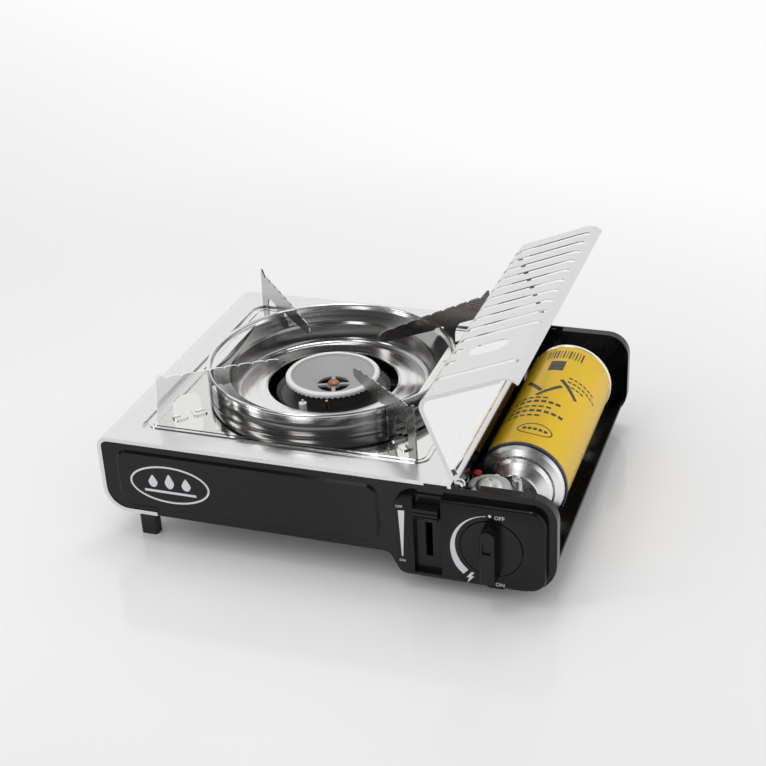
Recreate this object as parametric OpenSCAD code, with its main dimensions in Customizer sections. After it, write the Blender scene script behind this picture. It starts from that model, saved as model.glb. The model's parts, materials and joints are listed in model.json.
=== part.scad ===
// Portable cassette stove: pressed steel body, ring burner, removable spill tray
// with bowl and four blade supports, hinged cartridge lid and a cartridge in its bay.
// X runs left to right, Y front to back, Z up. Millimetres.

/* [Body] */
// Overall length, from the left side to the closed lid's outer face
body_length = 349; // [340:1:364]
// Depth between the outer faces of the two end panels
body_depth = 266; // [262:1:280]
// Height of the top plate above the table
body_height = 87.5; // [86:0.5:92]
// Underside of the burner side above the table
burner_clear = 24.5; // [20:0.5:26]
// Underside of the cartridge bay above the table
bay_clear = 8; // [6:0.5:9]
// Width of the deep right-hand part of the body, at its underside
bay_width = 110; // [106:1:112]
// Length of the slope between the two undersides
bay_slope = 17; // [14:1:20]
// Sheet thickness of the body wrap, lid and partition
sheet = 0.8; // [0.6:0.1:1]
// Sheet thickness of the two end panels
panel_sheet = 1.2; // [0.8:0.1:1.4]
// Sheet thickness of the base pan
pan_sheet = 1; // [0.8:0.1:1.2]
// Width of the lip that the wrap folds over the end panels
wrap_lip = 3.2; // [2.5:0.1:4]
// Width and depth of a foot
foot_size = 14; // [12:1:18]

/* [Cartridge] */
// Cartridge axis, inwards from the body's right end
can_inset = 42.5; // [40:0.5:44]
// Cartridge axis above the table
can_height = 54; // [52:0.5:54]
// Radius of the cartridge's drawn body
can_r = 33; // [32:0.1:33.2]
// Distance that the two seams stand out of the cartridge's body
seam_out = 0.8; // [0.5:0.1:1]
// Length of the cartridge between its two seams
can_body_length = 157; // [150:1:166]
// Front of the shoulder seam behind the front panel
can_front = 64.5; // [64:0.5:72]
// Distance the cartridge moves forward when it is locked
lock_stroke = 4; // [3:0.5:4]
// Height of the lock lever's travel
lever_travel = 34; // [28:1:35]

/* [Lid] */
// Hinge axis, inwards from the body's right end
hinge_inset = 70.5; // [68:0.5:72]
// Hinge axis below the top plate
hinge_drop = 1; // [0.5:0.1:1.5]
// Top of the closed lid above the top plate
lid_rise = 1.5; // [1.2:0.1:2.5]
// Angle from closed to fully open
lid_open_angle = 111.5; // [100:0.5:112]
// Radius of the lid's upper bend
lid_bend_r = 9.5; // [8:0.5:12]
// Radius of the roll along the lid's lower edge
lid_roll_r = 13; // [11:0.5:14]
// Distance that the lid reaches past the face of each end panel
lid_overhang = 2; // [1.8:0.1:3]
// Number of cooling slots in the main row
slot_count = 10; // [7:1:10]
// Spacing of the cooling slots
slot_pitch = 18.4; // [16:0.2:18.4]
// Width of a cooling slot
slot_width = 5.6; // [4:0.2:8]

/* [Tray and bowl] */
// Left edge of the spill tray, from the body's left side
tray_inset = 27; // [25:0.5:28]
// Right edge of the spill tray, from the wall beside the cartridge
tray_side = 21.7; // [19:0.1:24]
// Depth of the spill tray
tray_depth = 217; // [214:1:224]
// Thickness of the spill tray and bowl sheet
tray_sheet = 0.8; // [0.6:0.1:1]
// Depth of the pressed ledge that carries the spill tray
ledge_drop = 3.1; // [2.4:0.1:4]
// Width of the ledge that shows in front of the spill tray
ledge_front = 8; // [5:0.5:8.5]
// Width of the ledge that shows right of the spill tray
ledge_right = 8.5; // [5:0.5:9]
// Radius of the bowl's rolled rim
rim_r = 97.5; // [94:0.5:98]
// Height of the bowl's rim above the table
rim_height = 105.4; // [104:0.2:108]
// Distance that the bowl's shoulder lies inside its rim
shoulder_in = 17.2; // [15:0.2:19]
// Height of the bowl's floor above the table, where it meets the wall
bowl_floor = 79.8; // [78.6:0.2:82]
// Radius of the hole in the bowl's floor
bowl_hole_r = 51.5; // [49:0.5:53]

/* [Pan supports] */
// Sheet thickness of a support blade
blade_sheet = 1.2; // [1:0.1:1.6]
// Inner end of a blade, from the burner's centre
blade_inner_r = 41; // [40:0.5:48]
// Outer edge of a blade, from the burner's centre
blade_outer_r = 144; // [142:0.5:145]
// Height of a blade's inner end above the table
blade_inner_top = 113; // [111:0.5:115]
// Height of a blade's outer tip above the table
blade_tip = 126.5; // [123:0.5:130]
// Number of teeth along a blade
tooth_count = 8; // [6:1:10]
// Height of a tooth
tooth_height = 1.8; // [1:0.1:2.2]

/* [Burner] */
// Outer radius of the burner cap
cap_r = 37; // [36:0.1:38.5]
// Top of the burner cap above the table
cap_top = 90; // [88.5:0.5:92]
// Number of flame ports around the cap
port_count = 54; // [36:2:60]
// Width of a flame port
port_width = 2.4; // [1.4:0.1:2.6]
// Outer radius of the collar on the burner cup
collar_r = 45; // [43:0.5:47]
// Bore of the mixing tube
mixing_bore_r = 7.6; // [6.4:0.2:8]
// Radius of the igniter's ceramic
ceramic_r = 3; // [2.4:0.1:3.2]

/* [Controls] */
// Knob axis, inwards from the body's right end
knob_inset = 46; // [44:0.5:47]
// Knob axis above the table
knob_height = 43.5; // [42.5:0.5:44.5]
// Radius of the knob's disc
knob_r = 22; // [20:0.5:22.4]
// Distance that the knob's grip stands out of its disc
grip_out = 12; // [9:0.5:15]
// Distance from the lock lever's channel to the knob axis
channel_offset = 46; // [45:0.5:47]
// Length of the control panel
control_length = 109.5; // [108:0.5:112]
// Radius of the gas valve's spindle
spindle_r = 4; // [3:0.1:4.5]
// Depth of the control panel in front of the front panel
control_depth = 6; // [5.4:0.2:8]
// Width of the lock lever's channel
channel_width = 20; // [18:0.5:20.5]
// Running clearance of a pin in its bore
running = 0.06; // [0.03:0.01:0.09]

/* [Hidden] */

$fn = 64;
eps = 0.01;
gap = 0.3;      // plain clearance between pieces that don't touch
seat = 0.02;    // clearance of pieces that sit on each other

// Body stations
panel_right = body_length - 1.2;
top_bend_r = 8.5;
bottom_bend_r = 20;
wrap_bottom_end = 43;
wrap_bottom_start = 32;
step_right = body_length - bay_width;
step_left = step_right - bay_slope;
step_r = 7;
panel_top_r = 18;
panel_bottom_r = 26;
pan_rise = 72;      // angle that the base pan follows the panels' lower corner
panel_step_z = body_height - 2.7;
panel_fit = 0.2;
flange_depth = 8;
field_out = 1.4;
field_inset = 14;

// Hinge and lid stations
hinge_x = body_length - hinge_inset;
hinge_z = body_height - hinge_drop;
hinge_pin_r = 1.98;
hinge_head = 1.1;
ear_r = 4.3;
ear_y = 3;
ear_web = 12;
tab_y = ear_y + sheet + gap;
heel_r = 8.6;
heel_w = 2.6;
heel_angle = 195;
lid_start = hinge_x + 6.5;
lid_top = body_height + lid_rise;
lid_lip = 3;
lid_roll_x = body_length - lid_roll_r;
lid_roll_z = bay_clear + 18;
lid_roll_sweep = 62;

// Cartridge stations
can_x = body_length - can_inset;
seam_r = can_r + seam_out;
seam_h = 4;
can_wall = 0.6;
can_rear = can_front + seam_h + can_body_length;
wall_clear = 3;
wall_x = can_x - seam_r - wall_clear;
fold_right = wall_x + 7.1;
fold_depth = 8;
wrap_end = fold_right - 0.3;
can_hub_r = 12.5;
dome_y = can_front - 12.2;
flange_y = dome_y - 3.8;
flange_r = 16.5;
flange_h = 1.5;
stem_y = flange_y - 7.5;
stem_r = 2;

// Tray stations
tray_x = tray_inset;
tray_length = wall_x - tray_side - tray_x;
tray_front = (body_depth - tray_depth) / 2;
tray_gap = 1;
tray_corner_r = 10;
ledge_z = body_height - ledge_drop;
ledge_width = 9;
finger_width = 21;
finger_front = flange_depth + gap + sheet;
tray_z = ledge_z + sheet + seat;
tray_top = tray_z + tray_sheet;
burner_x = tray_x + tray_length / 2;
burner_y = body_depth / 2;
rim_roll_r = 1.65;
collar_in = rim_r - 2.3;
collar_out = rim_r - 1.5;
collar_top = rim_height - 1.2;

// Burner stations
cup_top = cap_top - 6.6;
collar_z = cup_top - 9;
cup_bottom = burner_clear + 6.5;
pan_top = burner_clear + panel_sheet + seat + pan_sheet;
neck_r = cap_r - 3.9;
ignition_r = 42;
ceramic_x = -9.2;
pin_x = 10;
core_r = 2.4;
cup_r = 22;
cup_wall = 3;
cup_flare = 24;
cup_shoulder_r = 29;
opening_r = 12.8;
dish_drop = 10;
dish_wall = 1.8;
hub_top = cap_top - dish_drop - 0.1;
hub_bottom = cap_top - dish_drop - dish_wall;
strap_reach = 44;
strap_width = 18;
strap_step = 4;

// Controls
knob_x = body_length - knob_inset;
control_right = body_length - 7.5;
control_left = control_right - control_length;
control_bottom = bay_clear + 4.3;
control_top = body_height - 10.3;
control_corner_r = 12;
control_wall = 2;
recess_floor = 3;
channel_x = knob_x - channel_offset;
channel_floor = 1.5;
channel_bottom = control_bottom + 2.7;
lever_z = control_top - 12;
lever_block_w = channel_width - 2.2;
lever_block_h = 9;
lever_out = 3.5;
lever_neck_w = 4.4;
lever_neck_h = 6;
lever_slot_w = 5;
lever_pin_y = 10;
lever_pin_r = 1.5;
knob_front = control_depth + gap + grip_out;
spindle_front = knob_front - 5;
spindle_back = 24;

// Gas train: the jet points from the valve at the burner
valve_back = 30;
barrel_r = 11;
jet_y = 14;
jet_x = knob_x;
jet_angle = atan2(burner_y - jet_y, burner_x - jet_x);
jet_run = norm([burner_x - jet_x, burner_y - jet_y]);
jet_boss_end = 24.6;
tube_start = 50;
tube_end = jet_run - 22;
tube_r = mixing_bore_r + 1.4;
seat_y = stem_y - 7;
seat_face = stem_y - 1;
chamber_x = knob_x - 10.5;
chamber_y = 29;
chamber_r = 15;
chamber_z = can_height + 13.7;
chamber_top = chamber_z + 3.3;
piezo_x = knob_x - 20;
piezo_z = 25;
piezo_r = 7;

// Lock linkage, beside the partition
yoke_x = wall_x - 1.9;
yoke_t = 1.2;
yoke_front = 6;
guide_y = 20;
guide_r = 1.5;
claw_y = dome_y - gap - yoke_t - 0.2;
arm_low = can_height + 4;
arm_high = can_height + 12;

// Whole part
origin_x = panel_right / 2;
origin_y = (body_depth + lid_overhang - knob_front) / 2;

// ---------- helpers ----------

function unit(v) = v / norm(v);
function left_of(v) = [-v[1], v[0]];
function reversed(p) = [for (i = [len(p) - 1:-1:0]) p[i]];
function arc(cx, cy, r, from, to, steps = 8) =
    [for (i = [0:steps]) let (a = from + (to - from) * i / steps) [cx + r * cos(a), cy + r * sin(a)]];
// A bent line moved sideways by d, to the left of its direction
function beside(p, d) = [for (i = [0:len(p) - 1])
    let (back = unit(i > 0 ? p[i] - p[i - 1] : p[i + 1] - p[i]),
         ahead = unit(i < len(p) - 1 ? p[i + 1] - p[i] : p[i] - p[i - 1]),
         n = left_of(back), m = unit(n + left_of(ahead)))
    p[i] + m * d / (m * n)];
// The same for a closed outline
function inset_outline(p, d) = [for (i = [0:len(p) - 1])
    let (c = len(p), back = unit(p[i] - p[(i + c - 1) % c]), ahead = unit(p[(i + 1) % c] - p[i]),
         n = left_of(back), m = unit(n + left_of(ahead)))
    p[i] + m * d / (m * n)];
// Outline of a sheet of thickness t folded along a line
function folded(p, t) = concat(p, reversed(beside(p, t)));

// Everything is drawn from the left front corner, then moved to the origin
module placed() translate([-origin_x, -origin_y, 0]) children();

// A profile in X and Z, run along Y from y0 to y1
module along_y(y0, y1) translate([0, y1, 0]) rotate([90, 0, 0]) linear_extrude(y1 - y0) children();
module bent_sheet(line, t, y0, y1) along_y(y0, y1) polygon(folded(line, t));

// A cylinder along Y from y0 to y1
module rod_y(x, z, r, y0, y1) translate([x, y0, z]) rotate([-90, 0, 0]) cylinder(r = r, h = y1 - y0);
// A cylinder along X from x0 to x1
module rod_x(y, z, r, x0, x1) translate([x0, y, z]) rotate([0, 90, 0]) cylinder(r = r, h = x1 - x0);
module post(x, y, r, z0, z1) translate([x, y, z0]) cylinder(r = r, h = z1 - z0);

// A flat bar with round ends from a to b
module flat_slot(a, b, w, h) {
    v = b - a;
    translate([a[0], a[1], 0]) {
        cylinder(d = w, h = h, $fn = 32);
        rotate([0, 0, atan2(v[1], v[0])]) translate([0, -w / 2, 0]) cube([norm(v), w, h]);
    }
    translate([b[0], b[1], 0]) cylinder(d = w, h = h, $fn = 32);
}

// A plate with round corners
module round_plate(w, d, r, h) {
    translate([r, 0, 0]) cube([w - 2 * r, d, h]);
    translate([0, r, 0]) cube([w, d - 2 * r, h]);
    for (x = [r, w - r], y = [r, d - r]) translate([x, y, 0]) cylinder(r = r, h = h);
}
// The same, standing in X and Z
module round_block(x, z, w, h, r, y0, y1)
    translate([x, y1, z]) rotate([90, 0, 0]) round_plate(w, h, r, y1 - y0);
// The same with a rounded front edge, e wide
module soft_block(x, z, w, h, r, y0, y1, e) hull() for (k = [[0, e], [0.3 * e, 0.3 * e], [e, 0]])
    round_block(x + k[0], z + k[0], w - 2 * k[0], h - 2 * k[0], r - k[0], y0 + k[1], y1, $fn = 32);

// Local z runs back along the cartridge's axis
module on_can_axis() translate([can_x, 0, can_height]) rotate([-90, 0, 0]) children();
module at_burner(z = 0) translate([burner_x, burner_y, z]) children();
// Local x runs from the valve to the burner, at the jet's height
module on_jet_axis() translate([jet_x, jet_y, knob_height]) rotate([0, 0, jet_angle]) children();
module jet_rod(r, x0, x1) on_jet_axis() rod_x(0, 0, r, x0, x1);
module at_back() translate([0, body_depth, 0]) mirror([0, 1, 0]) children();

// ---------- body ----------

wrap_line = concat(
    [[wrap_end, body_height]],
    arc(top_bend_r, body_height - top_bend_r, top_bend_r, 90, 180),
    arc(bottom_bend_r, burner_clear + bottom_bend_r, bottom_bend_r, 180, 270),
    [[wrap_bottom_end, burner_clear]]);

module tray_outline(grow, z0, z1)
    translate([tray_x - grow, tray_front - grow, z0])
        round_plate(tray_length + 2 * grow, tray_depth + 2 * grow, tray_corner_r + grow, z1 - z0);

// The recess around the tray, wider in front and at the right, with room for a finger in its corner
module recess_outline(grow, z0, z1) {
    left = tray_x - tray_gap - grow;
    right = tray_x + tray_length + ledge_right + grow;
    front = tray_front - ledge_front - grow;
    rear = tray_front + tray_depth + tray_gap + grow;
    translate([left, front, z0])
        round_plate(right - left, rear - front, tray_corner_r + grow, z1 - z0);
    translate([right - ledge_right - finger_width - grow, finger_front - grow, z0])
        round_plate(ledge_right + finger_width + grow, tray_front + 30 - finger_front,
            tray_corner_r + grow, z1 - z0);
}

module body_wrap() color("gainsboro") placed() difference() {
    union() {
        difference() {
            union() {
                bent_sheet(wrap_line, sheet, -sheet, body_depth + sheet);
                bent_sheet(wrap_line, wrap_lip, -sheet, 0);
                bent_sheet(wrap_line, wrap_lip, body_depth, body_depth + sheet);
            }
            recess_outline(0, burner_clear + 10, body_height + 1);
            // ends of the top plate, cut back for the lid's ears and the hinge
            for (y = [-sheet - 1, body_depth - hinge_room])
                translate([hinge_x - ear_r - 0.6, y, hinge_z - 8]) cube([20, hinge_room + sheet + 1, 12]);
        }
        // pressed ledge that carries the spill tray
        difference() {
            recess_outline(sheet, ledge_z, body_height - eps);
            recess_outline(0, ledge_z + sheet, body_height + 1);
            tray_outline(-ledge_width, ledge_z - 1, body_height);
        }
    }
    // shallow stiffening groove in front of the tray
    translate([burner_x, (tray_front - ledge_front) / 2 + 3.5, body_height - 0.35])
        flat_slot([-6.5, 0], [33.5, 0], 4.6, 1);
    // notch over the front panel's hook
    translate([channel_x - 3, -sheet - 1, body_height - wrap_lip - 1]) cube([17, sheet + 1, wrap_lip - 0.4]);
    // holes for the two base screws
    for (p = base_screw_points) post(p[0], p[1], screw_r + seat, burner_clear - 1, burner_clear + 2);
}

// The body's underside from the lap joint to the cartridge bay
floor_line = concat(
    [[wrap_bottom_start, burner_clear]],
    arc(step_left, burner_clear - step_r, step_r, 90, 35, 4),
    arc(step_right, bay_clear + step_r, step_r, 215, 270, 4));

// Outline of an end panel, anticlockwise seen from the front
panel_outline = concat(
    [[wrap_bottom_end + 2, burner_clear]],
    arc(step_left, burner_clear - step_r, step_r, 90, 35, 4),
    arc(step_right, bay_clear + step_r, step_r, 215, 270, 4),
    arc(panel_right - panel_bottom_r, bay_clear + panel_bottom_r, panel_bottom_r, 270, 360, 10),
    arc(panel_right - panel_top_r, panel_step_z - panel_top_r, panel_top_r, 0, 90, 10),
    [[hinge_x + 1.5, panel_step_z], [hinge_x, body_height - sheet - panel_fit]],
    arc(top_bend_r, body_height - top_bend_r, top_bend_r - sheet - panel_fit, 90, 180),
    arc(bottom_bend_r, burner_clear + bottom_bend_r, bottom_bend_r - sheet - panel_fit, 180, 270),
    [[wrap_bottom_end + 1, burner_clear + sheet + panel_fit]]);

// The raised field: a slope around a flat face that stands field_out proud
module raised_field(y)
    hull() {
        for (k = [0, 2]) round_block(field_inset + k, burner_clear + 6.4 + k,
            control_left - 2 * field_inset + 2 - 2 * k, body_height - burner_clear - 15 - 2 * k, 10 - k,
            y - field_out * k / 2 - 0.1, y - field_out * k / 2 + (k == 0 ? 0 : 0.1), $fn = 32);
    }

// Pressed end panel with a return flange and a raised field, its face at y = 0
module end_panel() difference() {
    union() {
        along_y(0, panel_sheet) polygon(panel_outline);
        difference() {
            along_y(0, flange_depth) polygon(panel_outline);
            along_y(panel_sheet, flange_depth + 1) polygon(inset_outline(panel_outline, panel_sheet));
        }
        raised_field(seat);
    }
    raised_field(panel_sheet + seat);
    // room in the flange for the lid's ear, its pin and its stop
    translate([hinge_x - 10.5, panel_sheet, hinge_z - 8]) cube([ear_web + 12.5, flange_depth, 12]);
}

module front_panel() color("#1a1a1c") placed() difference() {
    union() {
        end_panel();
        // hook under the wrap's notch
        translate([channel_x - 1, -sheet + gap, body_height - wrap_lip - 0.8]) cube([12, sheet, 2]);
    }
    // ways for the knob's hub, the lock lever's neck and the control panel's screws
    rod_y(knob_x, knob_height, spindle_r + 4.6, -1, 3);
    translate([channel_x - lever_slot_w / 2, -1, lever_z - lever_travel - lever_neck_h / 2 - 1])
        cube([lever_slot_w, 4, lever_travel + lever_neck_h + 2]);
    for (p = control_screw_points) rod_y(p[0], p[1], screw_r + seat, -1, 3);
}

module back_panel() color("#1a1a1c") placed() difference() {
    at_back() end_panel();
    // cooling slots behind the cartridge
    for (i = [-3:1]) translate([can_x + 8 * i, body_depth + 2, can_height - 12]) rotate([90, 0, 0])
        flat_slot([0, -10], [0, 10], 4, 5);
}

module base_pan() color("#232325") placed() difference() {
    bent_sheet(beside(concat(floor_line, arc(panel_right - panel_bottom_r, bay_clear + panel_bottom_r,
        panel_bottom_r, 270, 270 + pan_rise, 8)), panel_sheet + seat), pan_sheet,
        panel_sheet + seat, body_depth - panel_sheet - seat);
    // cooling slots below the burner
    for (i = [-3:3], s = [-1, 1]) translate([burner_x + 17 * i, burner_y + s * 62, burner_clear])
        flat_slot([0, -15], [0, 15], 5, 4);
    // cooling slots below the cartridge
    for (i = [0:4]) translate([can_x, can_front + 55 + 16 * i, bay_clear])
        flat_slot([-13, 0], [10, 0], 5, 4);
    // corners that clear the end panels' flanges at the lap joint
    for (y = [0, body_depth - flange_depth - gap])
        translate([0, y, burner_clear]) cube([wrap_bottom_end + 3, flange_depth + gap, 4]);
    for (p = base_screw_points) post(p[0], p[1], screw_r + seat, burner_clear, burner_clear + 5);
}

// Wall between burner and cartridge, with a fold that the wrap lies on
module partition() color("#c9ccd0") placed() {
    floor_z = bay_clear + panel_sheet + seat + pan_sheet + seat;
    fold_top = body_height - sheet - seat;
    difference() {
        union() {
            // wall, standing on the base pan
            translate([wall_x, tab_y, floor_z]) cube([sheet, body_depth - 2 * tab_y, hinge_z - 6 - floor_z]);
            bent_sheet([[wall_x, hinge_z - 8], [wall_x, fold_top], [fold_right, fold_top],
                [fold_right, fold_top - fold_depth]], -sheet, flange_depth + gap,
                body_depth - flange_depth - gap);
            hinge_tab();
            at_back() hinge_tab();
            // rivets that guide the lock yoke
            for (z = guide_heights) {
                rod_x(guide_y, z, guide_r, yoke_x - gap, wall_x + eps);
                rod_x(guide_y, z, guide_r + 1.4, yoke_x - gap - 1.2, yoke_x - gap);
            }
        }
        // corners that clear the end panels' lower flanges
        for (y = [0, body_depth - flange_depth - gap])
            translate([wall_x - 1, y, 0]) cube([sheet + 2, flange_depth + gap, bay_clear + 6]);
        // ways through for the jet, the lock yoke's claw and the igniter lead
        jet_rod(9, 30, 60);
        translate([wall_x - 1, claw_y - lock_stroke - 2, arm_low - 1.5])
            cube([sheet + 2, lock_stroke + yoke_t + 4, arm_high - arm_low + 3]);
        rod_x(lead_gate[1], lead_gate[2], 3, wall_x - 1, wall_x + 2);
    }
}

// Upright tab for the hinge pin, with the finger that stops the lid
module hinge_tab() difference() {
    union() {
        translate([wall_x, tab_y, hinge_z - 14]) cube([hinge_x + 8 - wall_x, sheet, 11.5]);
        rod_y(hinge_x, hinge_z, 4, tab_y, tab_y + sheet);
        translate([hinge_x - 4, tab_y, hinge_z - 4]) cube([8, sheet, 4]);
        rod_y(hinge_x + stop_r * cos(stop_angle), hinge_z + stop_r * sin(stop_angle), 0.9,
            ear_y - gap, tab_y + eps);
    }
    rod_y(hinge_x, hinge_z, hinge_pin_r + seat, 0, tab_y + 2);
}

hinge_room = tab_y + sheet + 1.4;
stop_r = 7.2;
stop_angle = heel_angle + lid_open_angle - 360 + 18.6;

module hinge_pin() {
    rod_y(hinge_x, hinge_z, hinge_pin_r, ear_y - gap - eps, tab_y + sheet + seat + eps);
    rod_y(hinge_x, hinge_z, 3.2, ear_y - gap - hinge_head, ear_y - gap);
    rod_y(hinge_x, hinge_z, 2.7, tab_y + sheet + seat, tab_y + sheet + seat + 0.8);
}

module hinge_pins() color("silver") placed() {
    hinge_pin();
    at_back() hinge_pin();
}

screw_r = 1.5;
screw_head_r = 2.8;
control_screw_points = [[control_left + 8, control_top - 9], [control_left + 8, control_bottom + 8],
                        [control_right - 8, control_top - 9], [control_right - 8, control_bottom + 8]];
base_screw_points = [[37.5, 60], [37.5, body_depth - 60]];
guide_heights = [lever_z - lever_travel + 0.8, lever_z + 5.8];

// Screws that hold the control panel from behind
module panel_screws() color("silver") placed() for (p = control_screw_points) {
    rod_y(p[0], p[1], screw_r, -control_depth + 2.4, panel_sheet + seat + eps);
    rod_y(p[0], p[1], screw_head_r, panel_sheet + seat, panel_sheet + 1.8);
}

module base_screws() color("silver") placed() for (p = base_screw_points) {
    post(p[0], p[1], screw_r, burner_clear - 1, pan_top + 2);
    post(p[0], p[1], screw_head_r, burner_clear - seat - 1.6, burner_clear - seat);
}

module foot(x, y, height) color("#161617") placed() difference() {
    translate([x, y, 0]) round_plate(foot_size, foot_size - 4, 3, height - seat);
    // hollow of the moulding
    translate([x + 2.5, y + 2.5, 3]) cube([foot_size - 5, foot_size - 9, height]);
}

foot_left = 21;
foot_right = can_x - 12;
foot_front = flange_depth + 1;
foot_rear = body_depth - flange_depth - 1 - (foot_size - 4);
module front_left_foot() foot(foot_left, foot_front, burner_clear);
module rear_left_foot() foot(foot_left, foot_rear, burner_clear);
module front_right_foot() foot(foot_right, foot_front, bay_clear + panel_sheet + seat);
module rear_right_foot() foot(foot_right, foot_rear, bay_clear + panel_sheet + seat);

// ---------- spill tray, bowl and supports ----------

module spill_tray() color("#d5d7da") placed() {
    difference() {
        union() {
            tray_outline(0, tray_z, tray_top);
            // raised bead just inside the edge
            difference() {
                tray_outline(-3, tray_top - eps, tray_top + 0.5);
                tray_outline(-5, tray_top - 1, tray_top + 1);
            }
        }
        at_burner() post(0, 0, collar_in, tray_z - 1, tray_top + 2);
    }
    // collar that carries the bowl's rim
    at_burner() rotate_extrude($fn = 96)
        polygon([[collar_in, tray_z], [collar_out, tray_z], [collar_out, collar_top],
            [collar_in, collar_top]]);
    // square pads pressed up beside the support blades' feet, each slotted for a toe
    for (a = support_angles, r = hook_stations) at_burner() rotate([0, 0, a]) difference() {
        translate([r[0] - pad / 2, -pad / 2, tray_top - eps]) round_plate(pad, pad, 2, 1.2);
        translate([r[1], -blade_sheet / 2 - gap, tray_top]) cube([r[2] - r[1], blade_sheet + 2 * gap, 3]);
    }
}

support_angles = [45, 135, 225, 315];
// Outer end of a blade's foot: at the blade's edge, but on the tray
foot_margin = 6.5;
foot_end = min(blade_outer_r, (min(tray_length, tray_depth) / 2 - foot_margin) * sqrt(2));
foot_inner = [rim_r + 2.1, rim_r + 11.7];
foot_outer = [foot_end - 12.3, foot_end];
foot_gap = foot_outer[0] - foot_inner[1];
toe = 0.22 * foot_gap;
toe_height = 2.4;
pad = 10.4;
// Centre of a pad, and the ends of its slot
hook_stations = [
    [foot_inner[1] + 2.3, foot_inner[1] - pad, foot_inner[1] + toe + gap],
    [foot_outer[0] - 4.8, foot_outer[0] - toe - gap, foot_outer[0] + pad]];

// The bowl's upper surface, from the hole in its floor to the rolled rim
shoulder_r = rim_r - shoulder_in;
shoulder_z = rim_height - 9.4;
bowl_corner = 4.5;
rim_skirt = 8.2;
bowl_line = concat(
    [[bowl_hole_r, bowl_floor + 2.4], [bowl_hole_r + 1.6, bowl_floor + 2]],
    arc(shoulder_r - 3 - bowl_corner, bowl_floor + bowl_corner, bowl_corner, 266, 342, 6),
    [[shoulder_r - 0.5, shoulder_z - 2], [shoulder_r + 0.5, shoulder_z], [shoulder_r + 2.2, shoulder_z + 0.7],
     [rim_r - 4.6, rim_height - 4]],
    arc(rim_r - rim_roll_r, rim_height - rim_roll_r, rim_roll_r, 180, 0, 8),
    [[rim_r, rim_height - rim_skirt]]);
lip_chord = rim_r - 14.5;
lip_drop = 3;

module bowl() color("#d5d7da") placed() at_burner() difference() {
    union() {
        rotate_extrude($fn = 128) polygon(folded(bowl_line, -tray_sheet));
        // flat lips at the left and right, each with an edge turned down into the bowl
        intersection() {
            bowl_inside(0.3);
            union() for (s = [-1, 1]) {
                translate([s > 0 ? lip_chord : -rim_r, -rim_r, rim_height - lip_drop - tray_sheet])
                    cube([rim_r - lip_chord, 2 * rim_r, tray_sheet]);
                translate([s > 0 ? lip_chord : -lip_chord - tray_sheet, -rim_r, bowl_floor])
                    cube([tray_sheet, 2 * rim_r, rim_height - lip_drop - bowl_floor]);
            }
        }
    }
    // grooves pressed into the lips
    for (s = [-1, 1]) translate([s * (lip_chord + 5), 0, rim_height - lip_drop - 0.35])
        flat_slot([0, -15], [0, 15], 4, 1);
}

// Space inside the bowl, reaching d into its sheet
module bowl_inside(d) rotate_extrude($fn = 128)
    polygon(concat([[0, rim_height], [0, bowl_floor]],
        [for (p = beside(bowl_line, -d)) if (p[0] < rim_r - 2.2 * rim_roll_r + d) p],
        [[rim_r - 2 * rim_roll_r + d, rim_height - 4], [rim_r - 2 * rim_roll_r + d, rim_height - 2]]));

// Top line of a blade: teeth that rise steeply at the inner end, then gently
tooth_start = blade_inner_r + 3;
tooth_end = blade_outer_r - 10;
tooth_pitch = (tooth_end - tooth_start) / tooth_count;
function crest(r) = blade_inner_top + (blade_tip - 4.5 - blade_inner_top) *
    pow((r - tooth_start) / (tooth_end - tooth_start), 0.8);
blade_top_line = [for (i = [0:tooth_count - 1]) let (r = tooth_start + tooth_pitch * i)
    each [[r, crest(r)], [r + tooth_pitch * 0.25, crest(r + tooth_pitch * 0.25) + tooth_height * 0.35],
          [r + tooth_pitch * 0.8, crest(r + tooth_pitch * 0.8) + tooth_height * 0.3],
          [r + tooth_pitch * 0.95, crest(r + tooth_pitch * 0.95) - tooth_height * 0.5]]];

blade_outline = concat(
    [[foot_outer[0], tray_top + toe_height], [foot_outer[0] - toe, tray_top + toe_height],
     [foot_outer[0] - toe, tray_top + seat], [foot_outer[1], tray_top + seat],
     [blade_outer_r - 1, rim_height], [blade_outer_r - 2.6, blade_tip], [blade_outer_r - 4.2, blade_tip]],
    reversed(blade_top_line),
    [[blade_inner_r + 0.8, blade_inner_top - 1.5], [blade_inner_r, blade_inner_top - 3.5],
     [blade_inner_r + 1.4, blade_inner_top - 6.6], [blade_inner_r + 6, blade_inner_top - 8.2],
     [rim_r - 7, rim_height - 1.4], [rim_r - 5.6, rim_height + seat],
     [foot_inner[0], rim_height + seat], [foot_inner[0], tray_top + seat],
     [foot_inner[1] + toe, tray_top + seat], [foot_inner[1] + toe, tray_top + toe_height],
     [foot_inner[1], tray_top + toe_height]],
    [for (p = arc((foot_inner[1] + foot_outer[0]) / 2, (tray_top + rim_height) / 2, foot_gap / 2,
        180, 0, 10)) [p[0], min(p[1], rim_height - 1)]]);

module support(angle) color("#c8cacd") placed() at_burner() rotate([0, 0, angle])
    along_y(-blade_sheet / 2, blade_sheet / 2) polygon(blade_outline);

module rear_right_support() support(support_angles[0]);
module rear_left_support() support(support_angles[1]);
module front_left_support() support(support_angles[2]);
module front_right_support() support(support_angles[3]);

// ---------- burner ----------

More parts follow.
